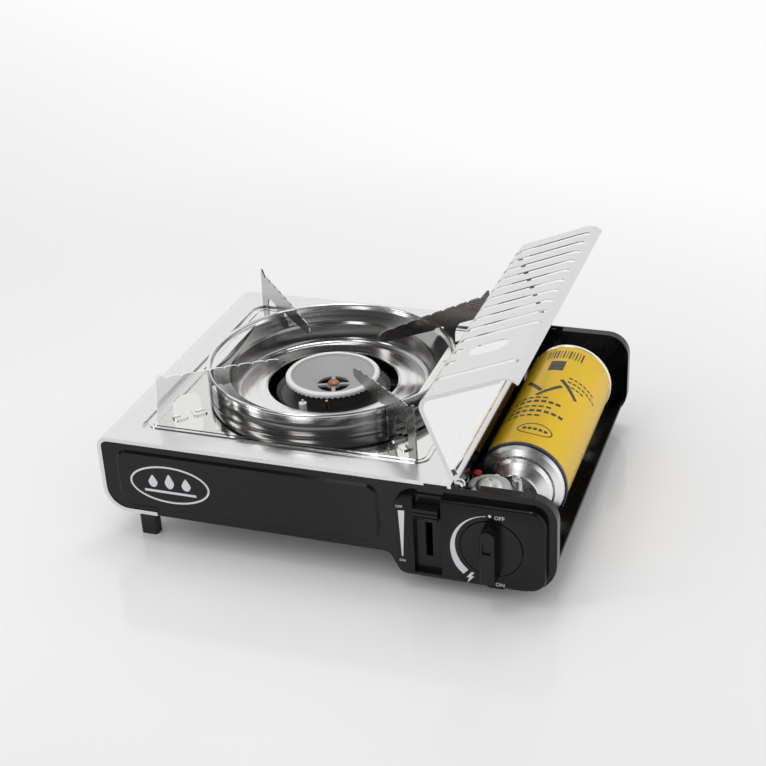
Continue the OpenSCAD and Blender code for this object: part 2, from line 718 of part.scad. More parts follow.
module burner_cup() color("#4c4d50") placed() difference() {
    union() {
        at_burner() rotate_extrude($fn = 96) polygon([
            [0, cup_bottom], [cup_r, cup_bottom], [cup_r + 1, cup_bottom + cup_flare],
            [cup_shoulder_r, collar_z - 5], [cup_shoulder_r + cup_wall, collar_z - 1.4],
            [collar_r - 3, collar_z - 1.4], [collar_r, collar_z + 1.2], [collar_r, collar_z + 2.8],
            [collar_r - 3.4, collar_z], [neck_r - 0.9, collar_z], [neck_r, cup_top], [neck_r - 3, cup_top],
            [neck_r - 3.8, collar_z],
            [cup_shoulder_r - cup_wall, collar_z - 6], [cup_r + 1 - cup_wall, cup_bottom + cup_flare + 1],
            [cup_r - cup_wall, cup_bottom + cup_wall], [0, cup_bottom + cup_wall]]);
        // socket of the mixing tube
        jet_rod(tube_r + 2.4, tube_end - 12, jet_run - 19.5);
        // lug that carries the igniter's ceramic and the flame pin
        at_burner() translate([ceramic_x - 7, -ignition_r - 6, collar_z - 3])
            cube([pin_x - ceramic_x + 13, 12, 2]);
    }
    jet_rod(tube_r + seat, tube_end - 13, tube_end);
    jet_rod(mixing_bore_r, tube_end - 1, jet_run);
    at_burner() {
        post(ceramic_x, -ignition_r, ceramic_r + seat, collar_z - 5, collar_z + 5);
        post(pin_x, -ignition_r + 1.6, 1.1 + seat, collar_z - 5, collar_z + 5);
    }
}

// Cap with a dished top, a ring of flame ports and four spokes in its centre opening
module burner_cap() color("#b9bbbe") placed() at_burner() difference() {
    union() {
        rotate_extrude($fn = 96) polygon([
            [opening_r, cap_top - dish_drop], [cap_r - 5.8, cap_top - 0.9], [cap_r - 5.1, cap_top],
            [cap_r - 1, cap_top], [cap_r, cap_top - 1], [cap_r, cap_top - 3.4],
            [cap_r - 2, cup_top + seat], [neck_r - 2.8, cup_top + seat], [neck_r - 2.8, cup_top + 2.6],
            [neck_r - 5.4, cup_top + 3.2], [opening_r, hub_bottom]]);
        for (a = [20, 110]) rotate([0, 0, a])
            translate([-opening_r - 0.4, -1.5, hub_bottom])
                cube([2 * opening_r + 0.8, 3, hub_top - hub_bottom]);
        post(0, 0, core_r + 3, hub_bottom, hub_top);
    }
    post(0, 0, core_r + seat, hub_bottom - 1, hub_top + 1);
    for (i = [0:port_count - 1]) rotate([0, 0, 360 * i / port_count])
        translate([neck_r - 3.4, -port_width / 2, cup_top + 1.2]) cube([12, port_width, 2.6]);
}

// Stalk on the cup's floor that carries the spokes' hub, with a domed nut on top
module burner_core() color("#a8674a") placed() at_burner() {
    post(0, 0, core_r, cup_bottom + cup_wall + seat, hub_top + 1);
    post(0, 0, core_r + 1.6, cup_bottom + cup_wall + seat, hub_bottom - seat);
    translate([0, 0, hub_top + seat]) rotate_extrude($fn = 48)
        polygon([[0, 0], [4.6, 0], [4.8, 1], [4, 2.2], [2.4, 3], [0, 3.3]]);
}

module burner_bracket() color("#8d9094") placed() at_burner() {
    foot_z = pan_top + seat;
    top_z = cup_bottom - seat;
    // strap under the cup, both ends stepped down to the base pan
    inner = cup_shoulder_r;
    bent_sheet([[-strap_reach, foot_z], [-inner - strap_step, foot_z], [-inner, top_z - 1],
        [inner, top_z - 1], [inner + strap_step, foot_z], [strap_reach, foot_z]],
        1, -strap_width / 2, strap_width / 2);
    // arm behind the burner that steadies the bowl
    arm_z = bowl_floor - 9.5;
    translate([28, 9 - eps, top_z - 1]) cube([1, 19, 1]);
    translate([26, 24, foot_z]) cube([17, 1, arm_z + 1 - foot_z]);
    translate([26, 24, arm_z]) cube([17, 13, 1]);
    translate([26, 24, foot_z]) cube([17, 10, 1]);
    translate([26, 8, foot_z + 2]) cube([3, 17, 1]);
}

// Mixing tube with a flared mouth around the jet
module mixing_tube() color("#a6a8ab") placed() on_jet_axis() rotate([0, 90, 0]) rotate_extrude()
    polygon([[mixing_bore_r, tube_start + 6], [mixing_bore_r + 1.6, tube_start], [tube_r + 1.6, tube_start],
        [tube_r + 1.2, tube_start + 5], [tube_r, tube_start + 9], [tube_r, tube_end - seat],
        [mixing_bore_r, tube_end - seat]]);

module igniter_electrode() color("#efeeea") placed() at_burner() translate([ceramic_x, -ignition_r, 0]) {
    post(0, 0, ceramic_r, collar_z - 16, collar_z + 9.4);
    post(0, 0, ceramic_r + 1, collar_z - 16, collar_z - 3 - seat);
    post(0, 0, 0.7, collar_z - 19, collar_z + 12);
}

module flame_pin() color("#c2a25a") placed() at_burner() translate([pin_x, -ignition_r + 1.6, 0]) {
    post(0, 0, 1.1, collar_z - 12, collar_z + 13);
    post(0, 0, 2, collar_z - 12, collar_z - 3 - seat);
}

// Lead from the piezo igniter to the ceramic, along points chosen by hand
lead_gate = [wall_x, 47, 17];
lead_r = 1.3;
lead_points = [[piezo_x, 43.4, piezo_z], [piezo_x - 2, 46, 19], lead_gate, [wall_x - 8, 48, 17],
    [step_right + 5, 56, 19], [step_left + 4, 62, 31], [burner_x + 58, 66, 30], [burner_x + 22, 72, 30],
    [burner_x - 2, 84, 34],
    [burner_x + ceramic_x, burner_y - ignition_r, 44],
    [burner_x + ceramic_x, burner_y - ignition_r, collar_z - 19.1]];

function smooth(p, i, t) = let (a = p[max(i - 1, 0)], b = p[i], c = p[i + 1], d = p[min(i + 2, len(p) - 1)])
    0.5 * ((2 * b) + (c - a) * t + (2 * a - 5 * b + 4 * c - d) * t * t + (3 * b - a - 3 * c + d) * t * t * t);
lead_path = concat([for (i = [0:len(lead_points) - 2], t = [0:0.25:0.99]) smooth(lead_points, i, t)],
    [lead_points[len(lead_points) - 1]]);

// A tube of radius r swept along a path, as one closed solid
module swept_tube(path, r, sides = 8) {
    rings = len(path);
    points = [for (i = [0:rings - 1])
        let (d = unit(path[min(i + 1, rings - 1)] - path[max(i - 1, 0)]),
             side = unit(cross(d, abs(d[0]) < 0.8 ? [1, 0, 0] : [0, 1, 0])), up = cross(side, d))
        for (k = [0:sides - 1]) path[i] + r * (cos(360 * k / sides) * side + sin(360 * k / sides) * up)];
    faces = concat(
        [[for (k = [0:sides - 1]) k]],
        [for (i = [0:rings - 2], k = [0:sides - 1]) [i * sides + k, (i + 1) * sides + k,
            (i + 1) * sides + (k + 1) % sides, i * sides + (k + 1) % sides]],
        [[for (k = [sides - 1:-1:0]) (rings - 1) * sides + k]]);
    polyhedron(points = points, faces = faces, convexity = 6);
}

module igniter_lead() color("#d9d6cf") placed() swept_tube(lead_path, lead_r);

module piezo_igniter() color("#26272a") placed() {
    rod_y(piezo_x, piezo_z, piezo_r, panel_sheet + 2 + seat, 38);
    rod_y(piezo_x, piezo_z, piezo_r + 1.6, 16, 24);
    rod_y(piezo_x, piezo_z, 2.4, 38 - eps, 42);
}

// ---------- valve, regulator and cartridge seat ----------

module valve_body() color("#9b9ea2") placed() difference() {
    union() {
        // mounting plate behind the front panel, with a ring for the piezo igniter
        translate([piezo_x - 10, panel_sheet + seat, piezo_z - 9]) cube([knob_x + 15 - piezo_x + 10, 2, 26]);
        translate([knob_x - 15, panel_sheet + seat, knob_height - 13]) cube([30, 2, 27]);
        rod_y(piezo_x, piezo_z, piezo_r + 2, panel_sheet + 1, panel_sheet + 12);
        // valve barrel, inlet and the neck of the diaphragm chamber
        rod_y(knob_x, knob_height, barrel_r, panel_sheet + 1, valve_back);
        rod_y(can_x, can_height, 12, 18, seat_y - seat);
        post(chamber_x - 2.5, chamber_y - 4, 9, knob_height + 6, chamber_z + 1);
        post(chamber_x, chamber_y, chamber_r, chamber_z, chamber_top);
        post(cap_lug[0], cap_lug[1], 4, chamber_z, chamber_z + 1.6);
        translate([cap_lug[0], chamber_y, chamber_z]) cube([8, cap_lug[1] - chamber_y, 1.6]);
        // boss of the gas jet
        jet_rod(5, 4, jet_boss_end);
    }
    rod_y(knob_x, knob_height, spindle_r + running, 0, spindle_back + 1);
    rod_y(piezo_x, piezo_z, piezo_r + seat, panel_sheet + 2, panel_sheet + 20);
    rod_y(can_x, can_height, 2.6, seat_y - 6, seat_y + 1);
    jet_rod(1.5, 8, jet_boss_end + 1);
    for (p = cover_screw_points) post(p[0], p[1], 1.2 + seat, chamber_top - 2, chamber_top + 1);
    post(cap_lug[0], cap_lug[1], 1.2 + seat, chamber_z - 1, chamber_z + 3);
}

sealing_r = 3;
// The sealing cap's lug stands beside the chamber
cap_reach = chamber_r + sealing_r + gap;
cap_lug = [chamber_x + cap_reach * cos(132), chamber_y + cap_reach * sin(132)];
cover_screw_points = [for (a = [80, 200, 320]) [chamber_x + 12.4 * cos(a), chamber_y + 12.4 * sin(a)]];
seat_screw = [can_x + 3.5, seat_face - 0.5];

module regulator_cover() color("#b4b7ba") placed() difference() {
    translate([chamber_x, chamber_y, chamber_top + seat]) rotate_extrude() polygon(concat(
        [[0, 0], [chamber_r, 0], [chamber_r, 1.2]],
        [for (a = [0:12:72]) [10 * cos(a), 1.2 + 4.7 * sin(a)]],
        [[2.2, 5.8], [1.6, 5], [0, 5]]));
    for (p = cover_screw_points) post(p[0], p[1], 1.2 + seat, chamber_top, chamber_top + 3);
}

module regulator_screws() color("silver") placed() {
    for (p = cover_screw_points) {
        post(p[0], p[1], 1.2, chamber_top - 1.8, chamber_top + 2);
        post(p[0], p[1], 2.1, chamber_top + 1.2 + 2 * seat, chamber_top + 2.6);
    }
    post(seat_screw[0], seat_screw[1], 1.6, chamber_top - 3, chamber_top + 2);
    difference() {
        post(seat_screw[0], seat_screw[1], 3.1, chamber_top + seat, chamber_top + 2.4);
        post(seat_screw[0], seat_screw[1], 1.3, chamber_top + 1.2, chamber_top + 4);
    }
}

module sealing_cap() color("#8c1020") placed() {
    post(cap_lug[0], cap_lug[1], 1.2, chamber_z, chamber_z + 2);
    post(cap_lug[0], cap_lug[1], sealing_r, chamber_z + 1.6 + seat, chamber_z + 6);
}

module gas_jet() color("#b5903f") placed() difference() {
    union() {
        on_jet_axis() translate([jet_boss_end + seat, 0, 0]) rotate([0, 90, 0])
            cylinder(r = 4.6, h = 5, $fn = 6);
        jet_rod(2.8, jet_boss_end + 4, tube_start - 6);
        jet_rod(1.7, tube_start - 6 - eps, tube_start - 1.6);
    }
    jet_rod(0.8, jet_boss_end, tube_start);
}

// Seat of the cartridge's stem, with the lower half of a guide ring
module cartridge_seat() color("#8f9296") placed() difference() {
    union() {
        rod_y(can_x, can_height, 13, seat_y, seat_face);
        rod_y(can_x, can_height, flange_r + 3.5, seat_face - 3, flange_y - lock_stroke + 1);
        post(seat_screw[0], seat_screw[1], 3.6, can_height + 8, chamber_top);
    }
    rod_y(can_x, can_height, stem_r + 0.6, seat_y - 1, seat_face + 1);
    rod_y(can_x, can_height, flange_r + 1, seat_face, flange_y + 1);
    // the ring is open at the top
    difference() {
        translate([can_x - 25, seat_face - 4, can_height + 1]) cube([50, 20, 25]);
        rod_y(can_x, can_height, 13, 0, seat_face);
        post(seat_screw[0], seat_screw[1], 3.6, can_height, chamber_top);
    }
    post(seat_screw[0], seat_screw[1], 1.6 + seat, chamber_top - 4, chamber_top + 1);
}

// ---------- controls ----------

module valve_spindle() color("silver") placed() difference() {
    rod_y(knob_x, knob_height, spindle_r, -spindle_front, spindle_back);
    // flat that drives the knob
    translate([knob_x + spindle_r - 1, -spindle_front - 1, knob_height - spindle_r])
        cube([2, 9, 2 * spindle_r]);
}

module knob() color("#111112") placed() difference() {
    union() {
        rod_y(knob_x, knob_height, knob_r, -control_depth - gap, -recess_floor - gap);
        rod_y(knob_x, knob_height, spindle_r + 3, -recess_floor - gap - eps, 0);
        // grip: a bar with a round upper end that narrows to the front
        intersection() {
            rod_y(knob_x, knob_height, knob_r - 0.6, -knob_front, -control_depth);
            hull() {
                knob_bar(6.2, -control_depth - gap - 0.5, -control_depth);
                knob_bar(5.2, -knob_front + 0.8, -knob_front + 1.2);
                knob_bar(4.4, -knob_front, -knob_front + 0.4);
            }
        }
    }
    // finger pocket in the grip's face
    rod_y(knob_x, knob_height + knob_r / 2 - 1, 3, -knob_front - 1, -knob_front + 1.5);
    translate([knob_x - 3, -knob_front - 1, knob_height + 3]) cube([6, 2.5, knob_r / 2 - 4]);
    difference() {
        rod_y(knob_x, knob_height, spindle_r + seat, -spindle_front - seat, 1);
        translate([knob_x + spindle_r - 1 + seat, -spindle_front - 2, knob_height - spindle_r - 1])
            cube([3, 9 - seat, 2 * spindle_r + 2]);
    }
}

module knob_bar(half, y0, y1) {
    rod_y(knob_x, knob_height + knob_r - 1 - half, half, y0, y1, $fn = 32);
    translate([knob_x - half, y0, knob_height - knob_r]) cube([2 * half, y1 - y0, 2 * knob_r - 1 - half]);
}

module control_panel() color("#0d0d0e") placed() difference() {
    width = control_right - control_left;
    height = control_top - control_bottom;
    union() {
        // shell, open at the back
        difference() {
            soft_block(control_left, control_bottom, width, height, control_corner_r, -control_depth,
                -seat, control_wall);
            round_block(control_left + control_wall, control_bottom + control_wall, width - 2 * control_wall,
                height - 2 * control_wall, control_corner_r - control_wall, -control_depth + control_wall, 1);
        }
        // cup around the knob, walls of the lever's channel and posts for the screws
        rod_y(knob_x, knob_height, knob_r + gap + 2.5, -control_depth + 1, -1);
        translate([channel_x - channel_width / 2 - 1.6, -control_depth + 1, control_bottom + 1])
            cube([channel_width + 3.2, control_depth - 1 - seat, height - 2]);
        for (p = control_screw_points) rod_y(p[0], p[1], 3.6, -control_depth + 1, -seat);
    }
    rod_y(knob_x, knob_height, knob_r + gap + 0.4, -control_depth - 1, -recess_floor);
    rod_y(knob_x, knob_height, spindle_r + 3.6, -control_depth, 1);
    translate([channel_x - channel_width / 2, -control_depth - 1, channel_bottom])
        cube([channel_width, control_depth + 1 - channel_floor, height + 5]);
    translate([channel_x - lever_slot_w / 2, -control_depth, lever_z - lever_travel - lever_neck_h / 2 - 1])
        cube([lever_slot_w, control_depth + 1, lever_travel + lever_neck_h + 2]);
    for (p = control_screw_points) rod_y(p[0], p[1], screw_r + seat, -control_depth + 2, 1);
}

// Lever block in front, neck through the slot, guide plate and pin behind
module lock_lever() color("#111112") placed() {
    y_front = -control_depth - lever_out;
    y_back = -channel_floor - gap + 0.1;
    difference() {
        translate([channel_x - lever_block_w / 2, y_front, lever_z - lever_block_h / 2])
            cube([lever_block_w, y_back - y_front, lever_block_h]);
        // finger grooves and a bevelled lower edge
        for (z = [-1.5, 1.5]) translate([channel_x - lever_block_w / 2 - 1, y_front - 0.6, lever_z + z - 0.5])
            cube([lever_block_w + 2, 1.4, 1]);
        translate([0, y_front, lever_z - lever_block_h / 2]) rotate([45, 0, 0])
            cube([2 * channel_x, 2.4, 2.4], center = true);
    }
    translate([channel_x - lever_neck_w / 2, y_back - eps, lever_z - lever_neck_h / 2])
        cube([lever_neck_w, lever_pin_y + lever_pin_r - y_back, lever_neck_h]);
    translate([channel_x - 6.5, panel_sheet + gap, lever_z - 5]) cube([13, 1.4, 10]);
    rod_x(lever_pin_y, lever_z, lever_pin_r, channel_x, yoke_x + yoke_t + 0.5);
}

// Slotted plate that the lever pulls forward, with a claw behind the cartridge's flange
module lock_yoke() color("#a5a8ac") placed() {
    difference() {
        translate([yoke_x, yoke_front, lever_z - lever_travel - 5])
            cube([yoke_t, guide_y + lock_stroke + 3 - yoke_front, lever_travel + 15]);
        // inclined slot that the lever's pin runs in
        yoke_slot([lever_pin_y, lever_z], [lever_pin_y + lock_stroke, lever_z - lever_travel],
            2 * lever_pin_r + gap);
        // level slots on the guide rivets
        for (z = guide_heights) yoke_slot([guide_y, z], [guide_y + lock_stroke, z], 2 * guide_r + gap);
    }
    // arm and claw
    translate([yoke_x, guide_y + lock_stroke + 3 - eps, arm_low])
        cube([yoke_t, claw_y + yoke_t - guide_y - lock_stroke - 3 + eps, arm_high - arm_low]);
    difference() {
        union() {
            translate([yoke_x + yoke_t - eps, claw_y, arm_low])
                cube([can_x - 15 - yoke_x - yoke_t, yoke_t, arm_high - arm_low]);
            translate([can_x - flange_r - 3, claw_y, can_height - 10]) cube([7, yoke_t, 23]);
        }
        rod_y(can_x, can_height, can_hub_r + 0.7, claw_y - 1, claw_y + yoke_t + 1);
    }
}

// A slot with round ends from a to b, given in Y and Z
module yoke_slot(a, b, width) {
    lean = atan2(b[1] - a[1], b[0] - a[0]);
    translate([yoke_x - 1, 0, 0]) rotate([90, 0, 90]) linear_extrude(yoke_t + 2)
        polygon(concat(arc(a[0], a[1], width / 2, lean + 90, lean + 270, 12),
            arc(b[0], b[1], width / 2, lean - 90, lean + 90, 12)));
}

// ---------- cartridge and its cradles ----------

module cradle(y) color("#8d9094") placed() {
    saddle_r = can_r + gap;
    floor_z = bay_clear + panel_sheet + seat + pan_sheet + seat;
    half = (saddle_r + cradle_sheet) * sin(cradle_spread);
    foot_z = floor_z + cradle_sheet;
    bent_sheet(concat([[can_x - half + 8, foot_z], [can_x - half, foot_z]],
        arc(can_x, can_height, saddle_r + cradle_sheet, 270 - cradle_spread, 270 + cradle_spread, 10),
        [[can_x + half, foot_z], [can_x + half - 8, foot_z]]), cradle_sheet, y, y + 12);
}

cradle_sheet = 1;
cradle_spread = 24;

module front_cradle() cradle(can_front + 25);
module rear_cradle() cradle(can_rear - 30);

module can_body() color("#e2b824") placed() on_can_axis() difference() {
    translate([0, 0, can_front + seam_h]) cylinder(r = can_r, h = can_body_length, $fn = 96);
    translate([0, 0, can_front]) cylinder(r = can_r - can_wall, h = can_body_length + 2 * seam_h, $fn = 96);
}

module can_shoulder_ring() color("#22314d") placed() on_can_axis() rotate_extrude($fn = 96) polygon([
    [can_r - can_wall - seat, can_front + 0.4], [seam_r - 0.8, can_front], [seam_r, can_front + 0.8],
    [seam_r, can_front + seam_h - 0.6], [seam_r - 0.5, can_front + seam_h - seat],
    [can_r - can_wall - seat, can_front + seam_h - seat]]);

module can_dome() color("#c4c7ca") placed() on_can_axis() rotate_extrude($fn = 96)
    let (r = can_r - can_wall - 2 * seat, y = dome_y)
    polygon(folded([[r, can_front + seam_h - 1], [r, can_front + 0.8], [r - 2.4, can_front - 1.6],
        [r - 6.4, can_front - 4.2], [r - 8, can_front - 4.6], [r - 10, y + 4.8], [r - 14, y + 2.6],
        [can_hub_r + 2, y + 0.6], [can_hub_r - 2, y + 0.6]], -0.6));

module can_collar() color("#b7babd") placed() on_can_axis() difference() {
    union() {
        translate([0, 0, flange_y]) cylinder(r = flange_r, h = flange_h);
        translate([0, 0, flange_y]) cylinder(r = can_hub_r, h = dome_y + 0.6 - seat - flange_y);
    }
    translate([0, 0, flange_y - 1]) cylinder(r = 7, h = 2.2);
    // alignment notch at the top
    translate([-2.5, -flange_r - 1, flange_y - 1]) cube([5, 4.4, flange_h + 2]);
    translate([0, 0, flange_y - 1]) cylinder(r = stem_r + seat, h = 10);
}

module can_stem() color("#e4e0d6") placed() on_can_axis() {
    translate([0, 0, stem_y]) cylinder(r = stem_r, h = dome_y - stem_y);
    translate([0, 0, flange_y - 2.8]) cylinder(r = 4.6, h = 3.9);
}

module can_base() color("#c4c7ca") placed() on_can_axis() rotate_extrude($fn = 96) polygon([
    [0, can_rear - 3.6], [can_r - 6, can_rear - 2.6], [can_r - 2.6, can_rear + 2.6],
    [can_r - 2, can_rear + 3.6],
    [seam_r - 1, can_rear + 3.6], [seam_r - 0.4, can_rear + 3], [seam_r - 0.4, can_rear + 0.6],
    [can_r, can_rear + seat], [can_r - can_wall - seat, can_rear + seat],
    [can_r - can_wall - seat, can_rear - 4], [can_r - 1.6, can_rear - 4], [can_r - 2.4, can_rear - 3.2],
    [can_r - 6, can_rear - 4.6], [0, can_rear - 5.6]]);

// ---------- lid ----------

// The lid's outer face when closed, from the hinge over the top and down the right side
lid_line = concat(
    [[lid_start, lid_top]],
    arc(body_length - lid_bend_r, lid_top - lid_bend_r, lid_bend_r, 90, 0),
    arc(lid_roll_x, lid_roll_z, lid_roll_r, 0, -lid_roll_sweep, 8));
lid_upper_line = [for (p = lid_line) if (p[1] >= lid_roll_z) p];

slot_top_x = body_length - 3.2;
first_slot_y = body_depth + lid_overhang - 17.2;
finger_hole = [59.5, 51.5];
short_slot_y = finger_hole[0] + 7.3;
// The row of slots, as many as fit behind the finger hole
slot_row = [for (i = [0:slot_count - 1]) let (y = first_slot_y - slot_pitch * i)
    if (y > short_slot_y + 0.8 * slot_pitch) y];

// A cooling slot in the right side that runs up around the upper bend
module lid_slot(y, low) {
    rod_x(y, low + slot_width / 2, slot_width / 2, slot_top_x, body_length + 1);
    translate([slot_top_x, y - slot_width / 2, low + slot_width / 2]) cube([10, slot_width, lid_top]);
}

// Ear that turns on the hinge pin, with the heel that meets the stop
module lid_ear() difference() {
    union() {
        rod_y(hinge_x, hinge_z, ear_r, ear_y, ear_y + sheet);
        translate([hinge_x, ear_y, hinge_z - 2]) cube([ear_web, sheet, lid_top - sheet + 0.1 - hinge_z + 2]);
        translate([hinge_x, ear_y, hinge_z]) rotate([0, -heel_angle, 0]) translate([0, 0, -heel_w / 2])
            cube([heel_r, sheet, heel_w]);
    }
    rod_y(hinge_x, hinge_z, hinge_pin_r + running, ear_y - 1, ear_y + 2);
}

module lid_closed() difference() {
    union() {
        bent_sheet(lid_line, -sheet, -lid_overhang, body_depth + lid_overhang);
        for (y = [-lid_overhang, body_depth + lid_overhang - sheet]) {
            bent_sheet(lid_upper_line, -lid_lip, y, y + sheet);
            bent_sheet(lid_line, -lid_lip / 2, y, y + sheet);
        }
        lid_ear();
        at_back() lid_ear();
    }
    for (y = slot_row) lid_slot(y, lid_roll_z - 7);
    for (i = [0, 1]) lid_slot(short_slot_y - slot_pitch * i, body_height - 13.5);
    lid_slot(finger_hole[0] - 34.5, lid_roll_z - 7.3);
    // oval finger hole
    translate([slot_top_x, finger_hole[0], finger_hole[1]]) rotate([90, 0, 90])
        flat_slot([0, -6], [0, 6], 18, 10);
}

module lid() color("#dcdee0") placed() translate([hinge_x, 0, hinge_z]) rotate([0, -lid_open_angle, 0])
    translate([-hinge_x, 0, -hinge_z]) lid_closed();

// ---------- assembly ----------

body_wrap();
front_panel();
back_panel();
base_pan();
partition();
panel_screws();
base_screws();
front_left_foot();
rear_left_foot();
front_right_foot();
rear_right_foot();
spill_tray();
bowl();
front_left_support();
front_right_support();
rear_right_support();
rear_left_support();
burner_cup();
burner_cap();
burner_core();
burner_bracket();
mixing_tube();
igniter_electrode();
flame_pin();
igniter_lead();
piezo_igniter();
valve_body();
regulator_cover();
regulator_screws();
sealing_cap();
gas_jet();
cartridge_seat();
valve_spindle();
knob();
control_panel();
lock_lever();
lock_yoke();
front_cradle();
rear_cradle();
can_body();
can_shoulder_ring();
can_dome();
can_collar();
can_stem();
can_base();
lid();
hinge_pins();
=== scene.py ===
# %% [markdown]
# # A portable cassette stove
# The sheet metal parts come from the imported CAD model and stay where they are. This lesson
# gives each of them a finish made from nodes, and adds what a solid model leaves out: rounded
# edges, a slight bulge under the bowl, the marks on the panels and the print on the gas
# cartridge.

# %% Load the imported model
import json
import math

import bmesh
import bpy
from mathutils import Matrix, Vector


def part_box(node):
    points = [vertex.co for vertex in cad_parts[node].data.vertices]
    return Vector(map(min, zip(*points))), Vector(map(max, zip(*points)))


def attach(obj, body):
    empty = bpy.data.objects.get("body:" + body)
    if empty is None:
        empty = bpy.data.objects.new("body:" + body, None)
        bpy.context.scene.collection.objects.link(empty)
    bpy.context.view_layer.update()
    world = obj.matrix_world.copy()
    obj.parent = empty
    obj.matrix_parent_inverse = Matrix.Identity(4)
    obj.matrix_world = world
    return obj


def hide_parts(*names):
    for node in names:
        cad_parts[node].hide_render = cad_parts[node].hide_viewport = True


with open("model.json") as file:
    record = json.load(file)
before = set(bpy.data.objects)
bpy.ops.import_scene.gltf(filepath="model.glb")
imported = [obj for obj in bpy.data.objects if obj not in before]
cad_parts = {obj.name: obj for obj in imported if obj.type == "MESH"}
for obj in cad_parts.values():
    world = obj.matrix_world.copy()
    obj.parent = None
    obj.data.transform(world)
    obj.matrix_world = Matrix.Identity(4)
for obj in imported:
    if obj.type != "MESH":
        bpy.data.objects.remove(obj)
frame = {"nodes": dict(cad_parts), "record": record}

MM = 0.001
nodes = frame["nodes"]
bpy.context.view_layer.update()

# %% [markdown]
# ## Where things are
# The source of the CAD model measures from the lower left front corner of the body, in
# millimetres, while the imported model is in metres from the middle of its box. One small
# function turns the first into the second, so a piece can be placed by the numbers that the
# sheet metal was drawn with. The knob's box gives the shift between the two.

# %% Turn drawing millimetres into metres in the frame
KNOB_X, KNOB_Z, PANEL_DEPTH = 303.0, 43.5, 6.0
CAN_X, CAN_Z, CAN_R = 306.5, 54.0, 33.0
BURNER_X, BURNER_Y = 137.5, 133.0
knob_low, knob_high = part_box("knob")
shift_x = (knob_low.x + knob_high.x) / 2 / MM - KNOB_X
shift_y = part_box("control_panel")[0].y / MM + PANEL_DEPTH


def spot(x, y, z):
    """A point of the drawing, in millimetres, as a place in the frame, in metres."""
    return Vector((x + shift_x, y + shift_y, z)) * MM


print("drawing origin in the frame, mm:", round(shift_x, 2), round(shift_y, 2))

# %% [markdown]
# ## The camera
# The camera stands a little to the right of the stove and looks down at it. Its angles are
# measured round the stove and above the table, and the roll is how far it leans. The rotation
# is built from three directions, which is plainer to read than three Euler angles.

# %% Place the camera
CAMERA_PLACE = (0.35787, -0.94928, 0.62116)
AZIMUTH, ELEVATION, ROLL = 20.225, 27.685, -3.006
LENS_MM, SENSOR_MM = 69.67, 36.0
NEAREST, FARTHEST = 0.01, 60


def view_turn(azimuth, elevation, roll):
    """The rotation of a camera that looks at the stove from these angles, in degrees."""
    a, e = math.radians(azimuth), math.radians(elevation)
    back = Vector((math.sin(a) * math.cos(e), -math.cos(a) * math.cos(e), math.sin(e)))
    right = Vector((math.cos(a), math.sin(a), 0))
    up = back.cross(right)
    turn = Matrix((right, up, back)).transposed()
    return turn @ Matrix.Rotation(math.radians(roll), 3, "Z")


camera = bpy.data.objects.new("camera", bpy.data.cameras.new("camera"))
bpy.context.scene.collection.objects.link(camera)
camera.data.lens, camera.data.sensor_width = LENS_MM, SENSOR_MM
camera.data.clip_start, camera.data.clip_end = NEAREST, FARTHEST
camera.matrix_world = (Matrix.Translation(CAMERA_PLACE)
                       @ view_turn(AZIMUTH, ELEVATION, ROLL).to_4x4())
bpy.context.scene.camera = camera
bpy.context.scene.view_settings.view_transform = "Standard"
print("the camera stands", round(camera.location.length, 2), "m from the middle of the stove")

# %% [markdown]
# ## Small helpers for node trees
# Every finish here is a Principled shader fed by a few other nodes. They could be placed by
# hand in the editor, but written down they can be repeated and changed. Each call of Blender's
# for them is long, so three helpers keep the recipes readable: one adds a node, one joins two
# sockets, and one starts a material.

# %% Add nodes, join them and start a material
def add_node(tree, kind, inputs=None, **settings):
    """Adds a node, with its settings and the values of some of its inputs."""
    made = tree.nodes.new(kind)
    for name, value in settings.items():
        setattr(made, name, value)
    for name, value in (inputs or {}).items():
        made.inputs[name].default_value = value
    return made


def join(tree, source, target):
    """Joins an output to an input."""
    tree.links.new(source, target)


def start_material(name, **inputs):
    """A new material with one Principled shader, and the shader's inputs by name."""
    material = bpy.data.materials.new(name)
    material.use_nodes = True
    tree = material.node_tree
    shader = tree.nodes["Principled BSDF"]
    for key, value in inputs.items():
        shader.inputs[key.replace("_", " ")].default_value = value
    return material, tree, shader


print("three helpers make nodes, links and materials")

# %% [markdown]
# ## Sums between nodes
# Some finishes need a little arithmetic, such as how far a point lies from the burner's axis.
# Math and Vector Math nodes do that. Their inputs often share one name, so these helpers fill
# them in order, with a number or with another node's socket.

# %% Sums, mixed shaders and places
def feed(tree, made, values):
    """Sets a node's first inputs, or joins them where a value is another node's socket."""
    for socket, value in zip(made.inputs, values):
        if isinstance(value, bpy.types.NodeSocket):
            join(tree, value, socket)
        else:
            socket.default_value = value


def sum_of(tree, operation, *values):
    """The result of a Math node."""
    made = add_node(tree, "ShaderNodeMath", operation=operation)
    feed(tree, made, values)
    return made.outputs["Value"]


def vector_of(tree, operation, *values):
    """The result of a Vector Math node."""
    made = add_node(tree, "ShaderNodeVectorMath", operation=operation)
    feed(tree, made, values)
    return made.outputs["Value" if operation == "LENGTH" else "Vector"]


def mix_shaders(tree, share, first, second):
    """The first shader where the share is 0 and the second where it is 1."""
    made = add_node(tree, "ShaderNodeMixShader")
    feed(tree, made, (share, first, second))
    return made.outputs["Shader"]


def object_place(tree):
    """Object coordinates as a vector, and as X, Y and Z."""
    place = add_node(tree, "ShaderNodeTexCoord").outputs["Object"]
    parts = add_node(tree, "ShaderNodeSeparateXYZ")
    join(tree, place, parts.inputs["Vector"])
    return place, parts.outputs


print("four helpers do sums and read places")

